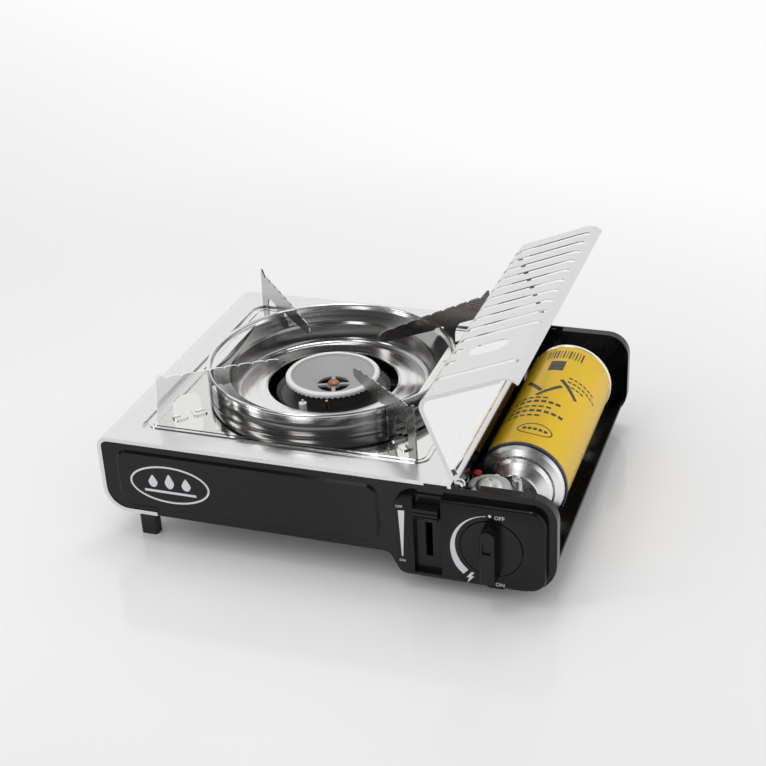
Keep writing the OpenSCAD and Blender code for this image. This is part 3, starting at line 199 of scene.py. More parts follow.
# %% [markdown]
# ## Noise, ranges, colours and bumps
# No real surface is even. A noise that reads Object coordinates keeps its real size on every
# piece, which an image stretched over it wouldn't. Map Range turns the noise into a roughness,
# a colour ramp turns it into a tint, and Bump turns it into relief.

# %% Turn noise into a range, a colour or a bump
WAVES_PER_METRE, WAVE_DEPTH = 14, 0.002


def noise_at(tree, scale, stretch=(1, 1, 1), detail=4, roughness=0.55):
    """Noise on Object coordinates, in waves per metre, stretched along an axis if asked."""
    place = add_node(tree, "ShaderNodeTexCoord")
    mapping = add_node(tree, "ShaderNodeMapping", {"Scale": stretch})
    noise = add_node(tree, "ShaderNodeTexNoise",
                     {"Scale": scale, "Detail": detail, "Roughness": roughness})
    join(tree, place.outputs["Object"], mapping.inputs["Vector"])
    join(tree, mapping.outputs["Vector"], noise.inputs["Vector"])
    return noise.outputs["Fac"]


def spread(tree, value, low, high, start=0.3, end=0.7):
    """Maps a 0 to 1 value from start and end to low and high."""
    made = add_node(tree, "ShaderNodeMapRange",
                    {"From Min": start, "From Max": end, "To Min": low, "To Max": high})
    join(tree, value, made.inputs["Value"])
    return made.outputs["Result"]


def tint(tree, value, dark, light, start=0.3, end=0.7):
    """Maps a 0 to 1 value to a colour between dark and light."""
    ramp = add_node(tree, "ShaderNodeValToRGB")
    for stop, position, colour in zip(ramp.color_ramp.elements, (start, end), (dark, light)):
        stop.position, stop.color = position, (*colour, 1)
    join(tree, value, ramp.inputs["Fac"])
    return ramp.outputs["Color"]


def bump(tree, shader, value, strength, distance, under=None):
    """Raises the surface by value times distance, on top of an earlier bump if there is one."""
    made = add_node(tree, "ShaderNodeBump", {"Strength": strength, "Distance": distance})
    join(tree, value, made.inputs["Height"])
    if under is not None:
        join(tree, under, made.inputs["Normal"])
    join(tree, made.outputs["Normal"], shader.inputs["Normal"])
    return made.outputs["Normal"]


def slow_waves(tree, shader, strength, under=None):
    """Thin sheet is never quite flat: long, shallow waves bend its reflections a little."""
    waves = noise_at(tree, WAVES_PER_METRE, detail=1)
    return bump(tree, shader, waves, strength, WAVE_DEPTH, under)


def shade(colour, share):
    """A darker version of a colour."""
    return tuple(c * share for c in colour)


print("waves in thin sheet are", round(1 / WAVES_PER_METRE / MM), "mm long")

# %% [markdown]
# ## The floor
# The stove stands on pale acrylic, which is matte with a clear polish and shows a faint
# reflection. A real sheet of it runs back and up behind the stove, and is lit on its own until
# it is almost white. The material does the same: where the camera or a mirror looks at the
# floor far from the stove, it gives its own pale light, and near the stove it is plain lit
# acrylic with shadows.

# %% Lay the floor
FLOOR_RADIUS = 7.0
LAMPLIT_SPOT = (-0.09, -0.03, 0)
GLOW_STARTS, GLOW_FULL = 0.24, 0.8
TOWARDS_RIGHT = 0.7
DIM_SIDE, BRIGHT_SIDE = -0.6, 0.7


def floor_material():
    """Acrylic that glows to the camera and to mirrors, more so far from the stove."""
    material, tree, shader = start_material("pale_acrylic", Roughness=0.1, IOR=1.4)
    join(tree, tint(tree, noise_at(tree, 3, detail=2), (0.90, 0.90, 0.91), (0.93, 0.93, 0.938)),
         shader.inputs["Base Color"])
    place, axes = object_place(tree)
    far = vector_of(tree, "LENGTH", vector_of(tree, "SUBTRACT", place, LAMPLIT_SPOT))
    share = spread(tree, far, 0, 1, GLOW_STARTS, GLOW_FULL)
    back_and_right = sum_of(tree, "MULTIPLY_ADD", axes["X"], TOWARDS_RIGHT, axes["Y"])
    level = tint(tree, spread(tree, back_and_right, 0, 1, DIM_SIDE, BRIGHT_SIDE),
                 (0.74, 0.74, 0.75), (0.98, 0.98, 0.98), 0, 1)
    rays = add_node(tree, "ShaderNodeLightPath").outputs
    looked_at = sum_of(tree, "MAXIMUM", rays["Is Camera Ray"], rays["Is Glossy Ray"])
    glow = add_node(tree, "ShaderNodeEmission")
    join(tree, level, glow.inputs["Color"])
    surface = mix_shaders(tree, sum_of(tree, "MULTIPLY", looked_at, share),
                          shader.outputs["BSDF"], glow.outputs["Emission"])
    join(tree, surface, tree.nodes["Material Output"].inputs["Surface"])
    return material


def lay_floor():
    """A flat disc under the stove."""
    work = bmesh.new()
    bmesh.ops.create_circle(work, cap_ends=True, segments=96, radius=FLOOR_RADIUS)
    mesh = bpy.data.meshes.new("floor")
    work.to_mesh(mesh)
    work.free()
    floor = bpy.data.objects.new("floor", mesh)
    bpy.context.scene.collection.objects.link(floor)
    mesh.materials.append(floor_material())


lay_floor()
print("floor radius, m:", FLOOR_RADIUS)

# %% [markdown]
# ## The light
# Polished steel looks like what it mirrors, so the room matters as much as the lamps. To matte
# things the world is one plain level. In reflections it is white behind the stove and at its
# right, and dark above and in front, as in a studio with a white sweep and black cloth round
# the camera. A long thin lamp overhead draws the bright rings in the spun bowl.

# %% Build the room
PLAIN_LEVEL = 0.66
BEHIND, BESIDE, CEILING = (-0.15, 0.2), (0.5, 0.8), (0.70, 0.86)
CLOTH, SWEEP = (0.10, 0.098, 0.098), (0.97, 0.97, 0.97)


def white_room():
    """A world that is white to the camera, plain to matte things, and sided in reflections."""
    world = bpy.data.worlds.new("white_room")
    bpy.context.scene.world = world
    world.use_nodes = True
    tree = world.node_tree
    plain = tree.nodes["Background"]
    plain.inputs["Color"].default_value = (1, 1, 1, 1)
    plain.inputs["Strength"].default_value = PLAIN_LEVEL
    place = add_node(tree, "ShaderNodeTexCoord")
    axes = add_node(tree, "ShaderNodeSeparateXYZ")
    join(tree, place.outputs["Generated"], axes.inputs["Vector"])
    behind = spread(tree, axes.outputs["Y"], 0, 1, *BEHIND)
    beside = spread(tree, axes.outputs["X"], 0, 1, *BESIDE)
    below_ceiling = spread(tree, axes.outputs["Z"], 1, 0, *CEILING)
    share = sum_of(tree, "MULTIPLY", sum_of(tree, "MAXIMUM", behind, beside), below_ceiling)
    mirrored = add_node(tree, "ShaderNodeBackground")
    join(tree, tint(tree, share, CLOTH, SWEEP, 0, 1), mirrored.inputs["Color"])
    white = add_node(tree, "ShaderNodeBackground", {"Color": (1, 1, 1, 1), "Strength": 1.0})
    rays = add_node(tree, "ShaderNodeLightPath").outputs
    unseen = mix_shaders(tree, rays["Is Glossy Ray"], plain.outputs["Background"],
                         mirrored.outputs["Background"])
    whole = mix_shaders(tree, rays["Is Camera Ray"], unseen, white.outputs["Background"])
    join(tree, whole, tree.nodes["World Output"].inputs["Surface"])


white_room()
print("the room is white behind and beside the stove")

# %% [markdown]
# ## The lamps
# Large soft lamps suit polished metal, because each one shows in it as a plain bright patch.
# Three of them are aimed at the middle of the stove: the strip overhead, one at the left and a
# small window in front, which puts a sheen on the black panels.

# %% Hang the lamps
AIM = Vector((0, 0, 0.05))


def softbox(name, place, width, height, watts):
    """A rectangular lamp that points from its place at the stove."""
    lamp = bpy.data.objects.new(name, bpy.data.lights.new(name, "AREA"))
    bpy.context.scene.collection.objects.link(lamp)
    lamp.data.shape = "RECTANGLE"
    lamp.data.size, lamp.data.size_y, lamp.data.energy = width, height, watts
    aim = AIM - Vector(place)
    lamp.matrix_world = (Matrix.Translation(place)
                         @ aim.to_track_quat("-Z", "Y").to_matrix().to_4x4())


softbox("overhead_strip", (-0.15, 0.10, 1.6), 1.3, 0.3, 6.5)
softbox("left_strip", (-1.3, -0.9, 1.1), 0.3, 0.8, 2.6)
softbox("front_window", (-0.28, -1.56, 0.90), 0.5, 0.35, 1.8)
print("three lamps shine at", tuple(AIM))

# %% [markdown]
# ## Finishes
# A finish is one function with a few values. Rolled and polished steel has a fine grain, which
# shows as small changes of roughness and tone. The sheet is slightly wavy and a used stove has
# hairline scratches, so two weak bumps can lie on each other.

# %% Sheet steel
SCRATCHES_PER_METRE, SCRATCH_DEPTH = 900, 0.00004


def steel(name, colour, rough, vary, grain=260, wave=0.0, scratch=0.0):
    """Rolled or polished metal: fine grain, slow waves in the sheet and hairline scratches."""
    material, tree, shader = start_material(name, Metallic=1.0)
    grain_noise = noise_at(tree, grain)
    join(tree, spread(tree, grain_noise, rough - vary, rough + vary), shader.inputs["Roughness"])
    join(tree, tint(tree, grain_noise, shade(colour, 0.95), colour), shader.inputs["Base Color"])
    waves = slow_waves(tree, shader, wave) if wave else None
    if scratch:
        lines = noise_at(tree, SCRATCHES_PER_METRE, detail=3)
        bump(tree, shader, lines, scratch, SCRATCH_DEPTH, waves)
    return material


print("scratches in steel are", round(SCRATCH_DEPTH / MM, 2), "mm deep at most")

# %% [markdown]
# ## Enamel, plastic and castings
# The panels are enamelled: glass fused on steel, with the faint unevenness of orange peel. The
# knob, the lever, the feet and the lead's cover are moulded, and their mould was eroded by
# sparks, which leaves a fine grain. The valve is die-cast and has a sandy skin. Only the
# castings are metal to the shader.

# %% Enamelled, moulded and cast finishes
PEEL_PER_METRE, PEEL_RELIEF, PEEL_DEPTH = 700, 0.05, 0.00008
PORES_PER_METRE, PORE_DEPTH = 1600, 0.00006
SAND_PER_METRE, SAND_RELIEF, SAND_DEPTH = 1300, 0.35, 0.0001


def enamel(name, colour, rough, shine=0.5):
    """Stove enamel or gloss paint on steel: a clear, slightly uneven skin."""
    material, tree, shader = start_material(name, IOR=1.52, Specular_IOR_Level=shine)
    cloud = noise_at(tree, 60)
    join(tree, tint(tree, cloud, shade(colour, 0.85), colour), shader.inputs["Base Color"])
    gloss = noise_at(tree, 420)
    join(tree, spread(tree, gloss, rough * 0.8, rough * 1.25), shader.inputs["Roughness"])
    bump(tree, shader, noise_at(tree, PEEL_PER_METRE, detail=2), PEEL_RELIEF, PEEL_DEPTH)
    return material


def moulded(name, colour, rough, relief=0.1, shine=0.5):
    """Moulded plastic or rubber with a fine spark-eroded grain."""
    material, tree, shader = start_material(name, IOR=1.5, Specular_IOR_Level=shine)
    pores = noise_at(tree, PORES_PER_METRE, detail=3)
    join(tree, tint(tree, pores, shade(colour, 0.85), colour), shader.inputs["Base Color"])
    gloss = noise_at(tree, 240)
    join(tree, spread(tree, gloss, rough * 0.85, rough * 1.2), shader.inputs["Roughness"])
    bump(tree, shader, pores, relief, PORE_DEPTH)
    return material


def cast(name, colour, rough, metallic=1.0):
    """Die-cast or pressed metal with a sandy skin."""
    material, tree, shader = start_material(name, Metallic=metallic)
    sand = noise_at(tree, SAND_PER_METRE, roughness=0.65)
    stain = noise_at(tree, 90)
    join(tree, tint(tree, stain, shade(colour, 0.86), colour), shader.inputs["Base Color"])
    join(tree, spread(tree, sand, rough - 0.08, rough + 0.1), shader.inputs["Roughness"])
    bump(tree, shader, sand, SAND_RELIEF, SAND_DEPTH)
    return material


print("three finishes for enamel, plastic and castings")

# %% [markdown]
# ## Spun steel
# The bowl is spun on a lathe, which leaves fine rings, so its highlights are drawn out across
# them. That is what the shader's anisotropy does, once the Tangent input knows which way the
# rings run. A noise of one dimension that reads only the distance from the axis makes the rings
# themselves. The wall between the floor and the rim is painted darker than the floor: a painted
# reflection of the dark room that the wall mirrors.

# %% A finish for the bowl
RING_SCALE, RING_RELIEF, RING_DEPTH = 260.0, 0.05, 0.00006
FLOOR_ENDS, WALL_STARTS = 0.070, 0.078
WALL_ENDS, LIP_STARTS = 0.1008, 0.1020


def from_burner_axis(tree, place):
    """How far a place lies from the burner's upright axis: a level vector, and its length."""
    centre = spot(BURNER_X, BURNER_Y, 0)
    level = vector_of(tree, "MULTIPLY", vector_of(tree, "SUBTRACT", place, centre), (1, 1, 0))
    return level, vector_of(tree, "LENGTH", level)


def spun_steel(name, floor_colour, wall_painted_reflection, rough):
    """Steel turned on a lathe round the burner's axis, with fine rings, a radial shine and a
    wall painted darker as a painted reflection.
    """
    material, tree, shader = start_material(name, Metallic=1.0, Anisotropic=0.5)
    place, axes = object_place(tree)
    outwards, radius = from_burner_axis(tree, place)
    along = vector_of(tree, "NORMALIZE", vector_of(tree, "CROSS_PRODUCT", outwards, (0, 0, -1)))
    join(tree, along, shader.inputs["Tangent"])
    rings = add_node(tree, "ShaderNodeTexNoise", {"Scale": RING_SCALE, "Detail": 2.0},
                     noise_dimensions="1D")
    join(tree, radius, rings.inputs["W"])
    join(tree, spread(tree, rings.outputs["Fac"], rough - 0.04, rough + 0.05),
         shader.inputs["Roughness"])
    # The wall's darker colour is a painted reflection of the dark room.
    wall = sum_of(tree, "MULTIPLY", spread(tree, radius, 0, 1, FLOOR_ENDS, WALL_STARTS),
                  spread(tree, axes["Z"], 1, 0, WALL_ENDS, LIP_STARTS))
    join(tree, tint(tree, wall, floor_colour, wall_painted_reflection, 0, 1), shader.inputs["Base Color"])
    bump(tree, shader, rings.outputs["Fac"], RING_RELIEF, RING_DEPTH)
    return material


print("the bowl's painted dark wall begins", round(WALL_STARTS / MM), "mm from the axis")

# %% [markdown]
# ## The lid's inner side and the wall of the bay
# The lid's inner side keeps the bright skin of the rolled sheet, and its plate is pressed
# slightly hollow, so that most of it leans a little. Bending the mesh would show at its edges.
# A bump that changes evenly with height leans only the reflections. The partition is one folded
# sheet whose top lies in the light while its wall stands in the dark of the bay, so its colour
# changes at the fold.

# %% Finishes for the lid's inner side and the partition
WALL_DARK, FOLD_BRIGHT = 0.6, 0.3
SHEET_WAVE = 0.05


def bright_inside(name, colour, rough, hollow):
    """The lid's bright inner side, with a slope that stands for its hollow."""
    material, tree, shader = start_material(name, Metallic=1.0)
    place, axes = object_place(tree)
    slope = bump(tree, shader, sum_of(tree, "MULTIPLY", axes["Z"], -hollow), 1.0, 1.0)
    slow_waves(tree, shader, SHEET_WAVE, slope)
    cloud = noise_at(tree, 220)
    join(tree, tint(tree, cloud, shade(colour, 0.96), colour), shader.inputs["Base Color"])
    join(tree, spread(tree, cloud, rough - 0.02, rough + 0.02), shader.inputs["Roughness"])
    return material


def folded_steel(name, bright, dark, top):
    """Bright sheet whose wall, below the height top in millimetres, is painted dark as painted
    shade.
    """
    material, tree, shader = start_material(name, Metallic=1.0)
    place, axes = object_place(tree)
    up = spread(tree, axes["Z"], 0, 1, (top - WALL_DARK) * MM, (top - FOLD_BRIGHT) * MM)
    # Below the fold the sheet gets the dark colour, a painted shade.
    join(tree, tint(tree, up, dark, bright, 0, 1), shader.inputs["Base Color"])
    join(tree, spread(tree, noise_at(tree, 300), 0.1, 0.16), shader.inputs["Roughness"])
    slow_waves(tree, shader, SHEET_WAVE)
    return material


print("the partition's wall is dark up to", WALL_DARK, "mm below its top")

# %% [markdown]
# ## The burner cap and the cartridge
# The cap is cast: a rough dish, a brighter machined edge round it, and a skirt with the flame
# ports, coloured dark below the edge. All three are told apart by the distance from the axis and
# by height, so the cap stays one piece. The cartridge is tinplate, printed with clear ink that
# lets the metal shine through, which is why its shader is only half metallic.

# %% Finishes for the burner cap and the cartridge
INNER_WALL, OUTER_WALL = 0.0315, 0.0325
DISH_ENDS, EDGE_STARTS = 0.0328, 0.0334
DARK_SKIRT_ENDS, CAP_TOP_STARTS = 0.0858, 0.0868
COLOUR_A, COLOUR_B, MIXED_COLOUR = 6, 7, 2


def burner_alloy(name, dish, edge, dark_skirt):
    """Cast alloy with a dish, a machined edge and a skirt coloured dark below the edge, round
    the burner's axis.
    """
    material, tree, shader = start_material(name, Metallic=0.2)
    place, axes = object_place(tree)
    radius = from_burner_axis(tree, place)[1]
    top = tint(tree, spread(tree, radius, 0, 1, DISH_ENDS, EDGE_STARTS), dish, edge, 0, 1)
    # The skirt below the cap's edge is coloured dark.
    above_skirt = spread(tree, axes["Z"], 0, 1, DARK_SKIRT_ENDS, CAP_TOP_STARTS)
    in_dish = spread(tree, radius, 1, 0, INNER_WALL, OUTER_WALL)
    mix = add_node(tree, "ShaderNodeMix", data_type="RGBA")
    join(tree, sum_of(tree, "MAXIMUM", above_skirt, in_dish), mix.inputs["Factor"])
    mix.inputs[COLOUR_A].default_value = (*dark_skirt, 1)
    join(tree, top, mix.inputs[COLOUR_B])
    join(tree, mix.outputs[MIXED_COLOUR], shader.inputs["Base Color"])
    sand = noise_at(tree, SAND_PER_METRE, roughness=0.65)
    join(tree, spread(tree, sand, 0.5, 0.66), shader.inputs["Roughness"])
    bump(tree, shader, sand, 0.25, SAND_DEPTH)
    return material


def printed_metal(name, colour, rough):
    """Tinplate under clear printing ink and varnish."""
    material, tree, shader = start_material(name, Metallic=0.45, Specular_IOR_Level=0.3)
    cloud = noise_at(tree, 45, (1, 0.3, 1))
    join(tree, tint(tree, cloud, shade(colour, 0.93), colour), shader.inputs["Base Color"])
    gloss = noise_at(tree, 300)
    join(tree, spread(tree, gloss, rough - 0.03, rough + 0.05), shader.inputs["Roughness"])
    bump(tree, shader, noise_at(tree, 25, detail=0), 0.04, 0.001)
    return material


print("the cap's machined edge begins", round(EDGE_STARTS / MM, 1), "mm from the axis")

# %% [markdown]
# ## The list of finishes
# Each finish has the name that the CAD model's record gives to the parts that carry it, so a
# node finds its own in this list. The tray and the blades are polished and smoother than the
# satin wrap, the burner cap is left as cast, and the two black finishes differ: the panels are
# enamelled, the knob is moulded.

# %% Mix the finishes
finishes = {}


def mix_finish(recipe, name, *values, **more):
    """Makes one finish and files it under its name."""
    finishes[name] = recipe(name, *values, **more)


mix_finish(steel, "satin_steel", (0.80, 0.80, 0.81), 0.24, 0.03, 300, wave=0.05, scratch=0.1)
mix_finish(steel, "lid_steel", (0.74, 0.74, 0.735), 0.30, 0.03, 300, wave=0.05, scratch=0.1)
mix_finish(steel, "mirror_steel", (0.80, 0.795, 0.785), 0.07, 0.03, 300, wave=0.06, scratch=0.05)
# The blade steel's near-white colour is partly a painted highlight.
mix_finish(steel, "blade_steel", (0.98, 0.98, 0.98), 0.07, 0.02, 400, wave=0.03, scratch=0.1)
mix_finish(steel, "zinc_screw", (0.66, 0.66, 0.68), 0.25, 0.05)
mix_finish(steel, "bright_steel", (0.70, 0.70, 0.71), 0.18, 0.04)
mix_finish(steel, "tube_steel", (0.56, 0.56, 0.57), 0.3, 0.06)
mix_finish(steel, "bracket_steel", (0.84, 0.84, 0.84), 0.2, 0.05, scratch=0.2)
mix_finish(steel, "bright_tinplate", (0.96, 0.96, 0.95), 0.28, 0.03, wave=0.02, scratch=0.1)
mix_finish(steel, "brass", (0.62, 0.46, 0.2), 0.25, 0.05, scratch=0.2)
mix_finish(cast, "copper_core", (0.46, 0.22, 0.13), 0.4)
mix_finish(burner_alloy, "cap_alloy", (0.41, 0.41, 0.41), (0.86, 0.86, 0.85), (0.08, 0.08, 0.08))
mix_finish(cast, "die_cast", (0.78, 0.79, 0.79), 0.38)
mix_finish(cast, "burner_iron", (0.14, 0.14, 0.14), 0.46, metallic=0.75)
mix_finish(enamel, "black_enamel", (0.006, 0.0057, 0.0068), 0.12, shine=0.3)
mix_finish(enamel, "black_paint", (0.02, 0.02, 0.022), 0.3)
mix_finish(enamel, "blue_band", (0.012, 0.022, 0.05), 0.18)
mix_finish(printed_metal, "printed_tinplate", (0.93, 0.60, 0.012), 0.3)
mix_finish(moulded, "red_plastic", (0.5, 0.01, 0.03), 0.3)
mix_finish(moulded, "gloss_black", (0.007, 0.0066, 0.0074), 0.2, relief=0.04, shine=0.28)
mix_finish(moulded, "black_plastic", (0.02, 0.02, 0.02), 0.4)
mix_finish(moulded, "black_rubber", (0.014, 0.014, 0.014), 0.55, relief=0.3)
mix_finish(moulded, "white_plastic", (0.78, 0.76, 0.72), 0.35)
mix_finish(moulded, "lead_silicone", (0.72, 0.7, 0.66), 0.5)
mix_finish(moulded, "white_ceramic", (0.85, 0.84, 0.81), 0.25)
print(len(finishes), "finishes are mixed")

# %% [markdown]
# ## Finishes for the CAD nodes
# On the bench each part is plated, enamelled or polished before it is fitted. Here a node's
# mesh is never changed: its list of materials is emptied and filled with the finish that its
# slot names, and every face is pointed at that one material.

# %% Give every CAD node its finish
slot_of = {part["node"]: part["material_slot"] for part in frame["record"]["subparts"]}
body_of = {}
for body, names in frame["record"]["behaviour"]["bodies"].items():
    for name in names:
        body_of[name] = body
for name, node in nodes.items():
    node.data.materials.clear()
    node.data.materials.append(finishes[slot_of[name]])
    node.data.polygons.foreach_set("material_index", [0] * len(node.data.polygons))
print(len(nodes), "nodes carry", len(set(slot_of.values())), "finishes")

# %% [markdown]
# ## Pieces that differ from their slot's finish
# The bowl has the spun version of the polished steel, and the partition the folded one. The
# blade steel is near white, brighter than steel, which is partly a painted highlight on the
# front left blade, and three of the four blades are painted darker copies of it, the rear right
# one most: painted shade and a painted reflection of the dark room round the camera. Their slot
# stays the same, because a slot says what a part is made of, and only their material changes.

# %% Spun bowl, dark bay and blades painted darker
WRAP_TOP = 87.5
# The bowl's second colour is its wall's painted reflection, and bay_wall's second colour is the
# partition's painted shade.
spun = spun_steel("spun_steel", (0.80, 0.79, 0.785), (0.34, 0.335, 0.33), 0.15)
bay_wall = folded_steel("bay_wall", (0.84, 0.84, 0.84), (0.05, 0.049, 0.046), WRAP_TOP)
# Darker copies of the blade steel: painted shade and painted reflection on three blades.
SHADED_BLADES = {
    "front_right_support": ("front_right_blade_shaded", (0.42, 0.415, 0.41), 0.24, 0.05),
    "rear_left_support": ("rear_left_blade_shaded", (0.50, 0.50, 0.50), 0.16, 0.04),
    "rear_right_support": ("rear_right_blade_shaded", (0.24, 0.23, 0.225), 0.22, 0.05),
}
nodes["bowl"].data.materials[0] = spun
nodes["partition"].data.materials[0] = bay_wall
for name, values in SHADED_BLADES.items():
    nodes[name].data.materials[0] = steel(*values, grain=400, scratch=0.2)
print("the bowl is spun and", len(SHADED_BLADES), "blades are painted darker")

# %% [markdown]
# ## The collar under the bowl
# The tray is drawn up into a collar that carries the bowl, and drawing leaves its wall slightly
# bulged. A flat wall would mirror one flat band; the bulge gathers the whole room in a thin
# bright line. It is a short profile, spun once round the burner's axis, that hugs the collar of
# the model.

# %% Spin the collar's bulged wall
COLLAR_R, TRAY_TOP = 96.0, 86.0
BULGE = ((0.02, 0.1), (1.5, 0.15), (1.1, 0.5), (1.3, 2.4), (1.3, 4.6), (1.05, 6.8), (0.6, 8.8),
         (0.1, 10.6), (0.02, 10.7), (0.02, 0.1))
SPIN_STEPS = 128


def place_piece(work, name, body, material):
    """Makes the work a piece that rides on a body and has one finish."""
    mesh = bpy.data.meshes.new(name)
    work.to_mesh(mesh)
    work.free()
    mesh.materials.append(material)
    piece = bpy.data.objects.new(name, mesh)
    bpy.context.scene.collection.objects.link(piece)
    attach(piece, body)
    print(name, len(mesh.polygons), "faces")


def spun_piece(name, profile, body, material):
    """Spins a profile of (radius, height) points, in millimetres, round the burner's axis."""
    work = bmesh.new()
    verts = [work.verts.new((radius, 0, height)) for radius, height in profile]
    edges = [work.edges.new(pair) for pair in zip(verts, verts[1:])]
    bmesh.ops.spin(work, geom=verts + edges, cent=(0, 0, 0), axis=(0, 0, 1), dvec=(0, 0, 0),
                   angle=2 * math.pi, steps=SPIN_STEPS, use_merge=True, use_duplicate=False)
    bmesh.ops.remove_doubles(work, verts=work.verts, dist=0.001)
    bmesh.ops.recalc_face_normals(work, faces=work.faces)
    for vert in work.verts:
        vert.co = spot(vert.co.x + BURNER_X, vert.co.y + BURNER_Y, vert.co.z)
    for face in work.faces:
        face.smooth = True
    place_piece(work, name, body, material)


# The collar's steel is painted much darker than the tray's: a painted reflection of the dark
# room in front and painted shade under the bowl's rim.
drawn = steel("collar_steel_painted_shade", (0.30, 0.295, 0.29), 0.18, 0.01, 60)
bulge = [(COLLAR_R + out, TRAY_TOP + up) for out, up in BULGE]
spun_piece("collar_wall", bulge, "tray", drawn)

# %% [markdown]
# ## Rounded edges
# A real pressed or moulded edge always has a small radius, and it is the radius that catches
# the light: without it black parts melt into each other. Rounding every edge by hand would take
# days. The node's loose triangles are merged in a copy, flat triangles become one face again,
# and a Bevel modifier rounds the edges that are sharper than a limit. The copy then stands in
# for the node.

# %% Round the edges of the panels, the controls and the feet
SAME_POINT = 0.000004
FLAT_DEGREES, SHARP_DEGREES = 0.6, 34
EDGE_WIDTHS = {"front_panel": 0.5, "back_panel": 0.5, "control_panel": 0.5, "knob": 0.6,
               "lock_lever": 0.4, "front_left_foot": 0.8, "rear_left_foot": 0.8}


def close_faces(mesh):
    """Merges a CAD mesh's loose triangles into whole faces."""
    work = bmesh.new()
    work.from_mesh(mesh)
    bmesh.ops.remove_doubles(work, verts=work.verts, dist=SAME_POINT)
    bmesh.ops.dissolve_limit(work, angle_limit=math.radians(FLAT_DEGREES),
                             verts=work.verts, edges=work.edges)
    for face in work.faces:
        face.smooth = True
    return work


def rounded_copy(name, width, segments=2):
    """A copy of a CAD node with rounded edges, width in millimetres, that stands in for it."""
    work = close_faces(nodes[name].data)
    mesh = bpy.data.meshes.new(name + "_rounded")
    work.to_mesh(mesh)
    work.free()
    for layer in ("custom_normal", "sharp_edge", "sharp_face"):
        if layer in mesh.attributes:
            mesh.attributes.remove(mesh.attributes[layer])
    mesh.materials.clear()
    mesh.materials.append(finishes[slot_of[name]])
    piece = bpy.data.objects.new(name + "_rounded", mesh)
    bpy.context.scene.collection.objects.link(piece)
    bevel = piece.modifiers.new("round the edges", "BEVEL")
    bevel.width, bevel.segments, bevel.profile = width * MM, segments, 0.5
    bevel.limit_method, bevel.angle_limit = "ANGLE", math.radians(SHARP_DEGREES)
    bevel.harden_normals, bevel.use_clamp_overlap = True, True
    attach(piece, body_of[name])
    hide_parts(name)
    return piece


for name, width in EDGE_WIDTHS.items():
    piece = rounded_copy(name, width)
    print(piece.name, len(piece.data.polygons), "faces before the bevel")

# %% [markdown]
# ## The lid's two sides
# The lid is satin outside, but its inner side keeps the bright skin of the rolled sheet. Its
# copy gets both finishes: a face whose normal agrees with one of the two outer directions of
# the open lid is satin, and every other face, with the thin edges and the flanges, is bright.

# %% Give the lid its bright inner side
LID_EDGE, HOLLOW, AGREES = 0.22, 0.10, 0.3
LID_OUTSIDE = (Vector((-0.930, 0.0, -0.367)), Vector((-0.367, 0.0, 0.930)))
lid_copy = rounded_copy("lid", LID_EDGE, 1)
lid_copy.data.materials.append(bright_inside("lid_inside", (0.86, 0.86, 0.86), 0.07, HOLLOW))
for face in lid_copy.data.polygons:
    outside = max(face.normal.dot(way) for way in LID_OUTSIDE)
    face.material_index = 0 if outside > AGREES else 1
print("satin faces:", sum(1 for face in lid_copy.data.polygons if face.material_index == 0))

# %% [markdown]
# ## Printed marks
# The marks on the panels are white ink, a few hundredths of a millimetre thick. They could be
# painted into the panel's material, but thin pieces keep sharp edges at any distance and are
# easy to reshape. Two inks are enough: white for the panels and a dark one for the cartridge.

# %% Mix the inks
INK = 0.05


def ink_material(name, colour, rough):
    """Printing ink, with a fine speck of the screen it was pressed through."""
    material, tree, shader = start_material(name)
    speck = noise_at(tree, 1800, detail=2)
    join(tree, tint(tree, speck, shade(colour, 0.93), colour), shader.inputs["Base Color"])
    join(tree, spread(tree, speck, rough * 0.9, rough * 1.15), shader.inputs["Roughness"])
    return material


white_ink = ink_material("white_ink", (0.78, 0.79, 0.82), 0.4)
dark_ink = ink_material("dark_ink", (0.035, 0.022, 0.008), 0.35)
print("the ink is", INK, "mm thick")

# %% [markdown]
# ## Flat shapes for the marks
# Screen printing pushes ink through a flat stencil. Here too every mark is first drawn flat, on
# the drawing's X and Z, from a few points, a circle or a grid, and all marks of a panel are
# then given the ink's thickness together. Letters come from Blender's own font, turned into a
# mesh.

# %% Draw flat shapes and lay them on a panel
FONT_SIZE_PER_CAPITAL = 1.37
BAND_STEPS, DOT_STEPS = 36, 20


def flat_face(work, points):
    """A face through a few points of the drawing's X and Z."""
    work.faces.new([work.verts.new((x, 0, z)) for x, z in points])


def thicken(work, way):
    """Gives all flat faces a thickness, in the direction and length of way."""
    raised = bmesh.ops.extrude_face_region(work, geom=work.faces[:])["geom"]
    top = [v for v in raised if isinstance(v, bmesh.types.BMVert)]
    bmesh.ops.translate(work, verts=top, vec=way)


def print_on_panel(work, name, y):
    """Gives flat faces the thickness of the ink and lays them on the plane y of the drawing."""
    bmesh.ops.recalc_face_normals(work, faces=work.faces)
    thicken(work, (0, -INK, 0))
    bmesh.ops.recalc_face_normals(work, faces=work.faces)
    for vert in work.verts:
        vert.co = spot(vert.co.x, vert.co.y + y, vert.co.z)
    place_piece(work, name, "body", white_ink)


def bent_band(work, centre, start, end, radii):
    """A band round a centre: radii(share) gives its inner and outer radius along the way."""
    grid = bmesh.ops.create_grid(work, x_segments=BAND_STEPS, y_segments=1, size=0.5)
    for vert in grid["verts"]:
        share, side = vert.co.x + 0.5, vert.co.y + 0.5
        inner, outer = radii(share)
        angle = math.radians(start + (end - start) * share)
        radius = inner + (outer - inner) * side
        vert.co = (centre[0] + radius * math.cos(angle), 0, centre[1] + radius * math.sin(angle))


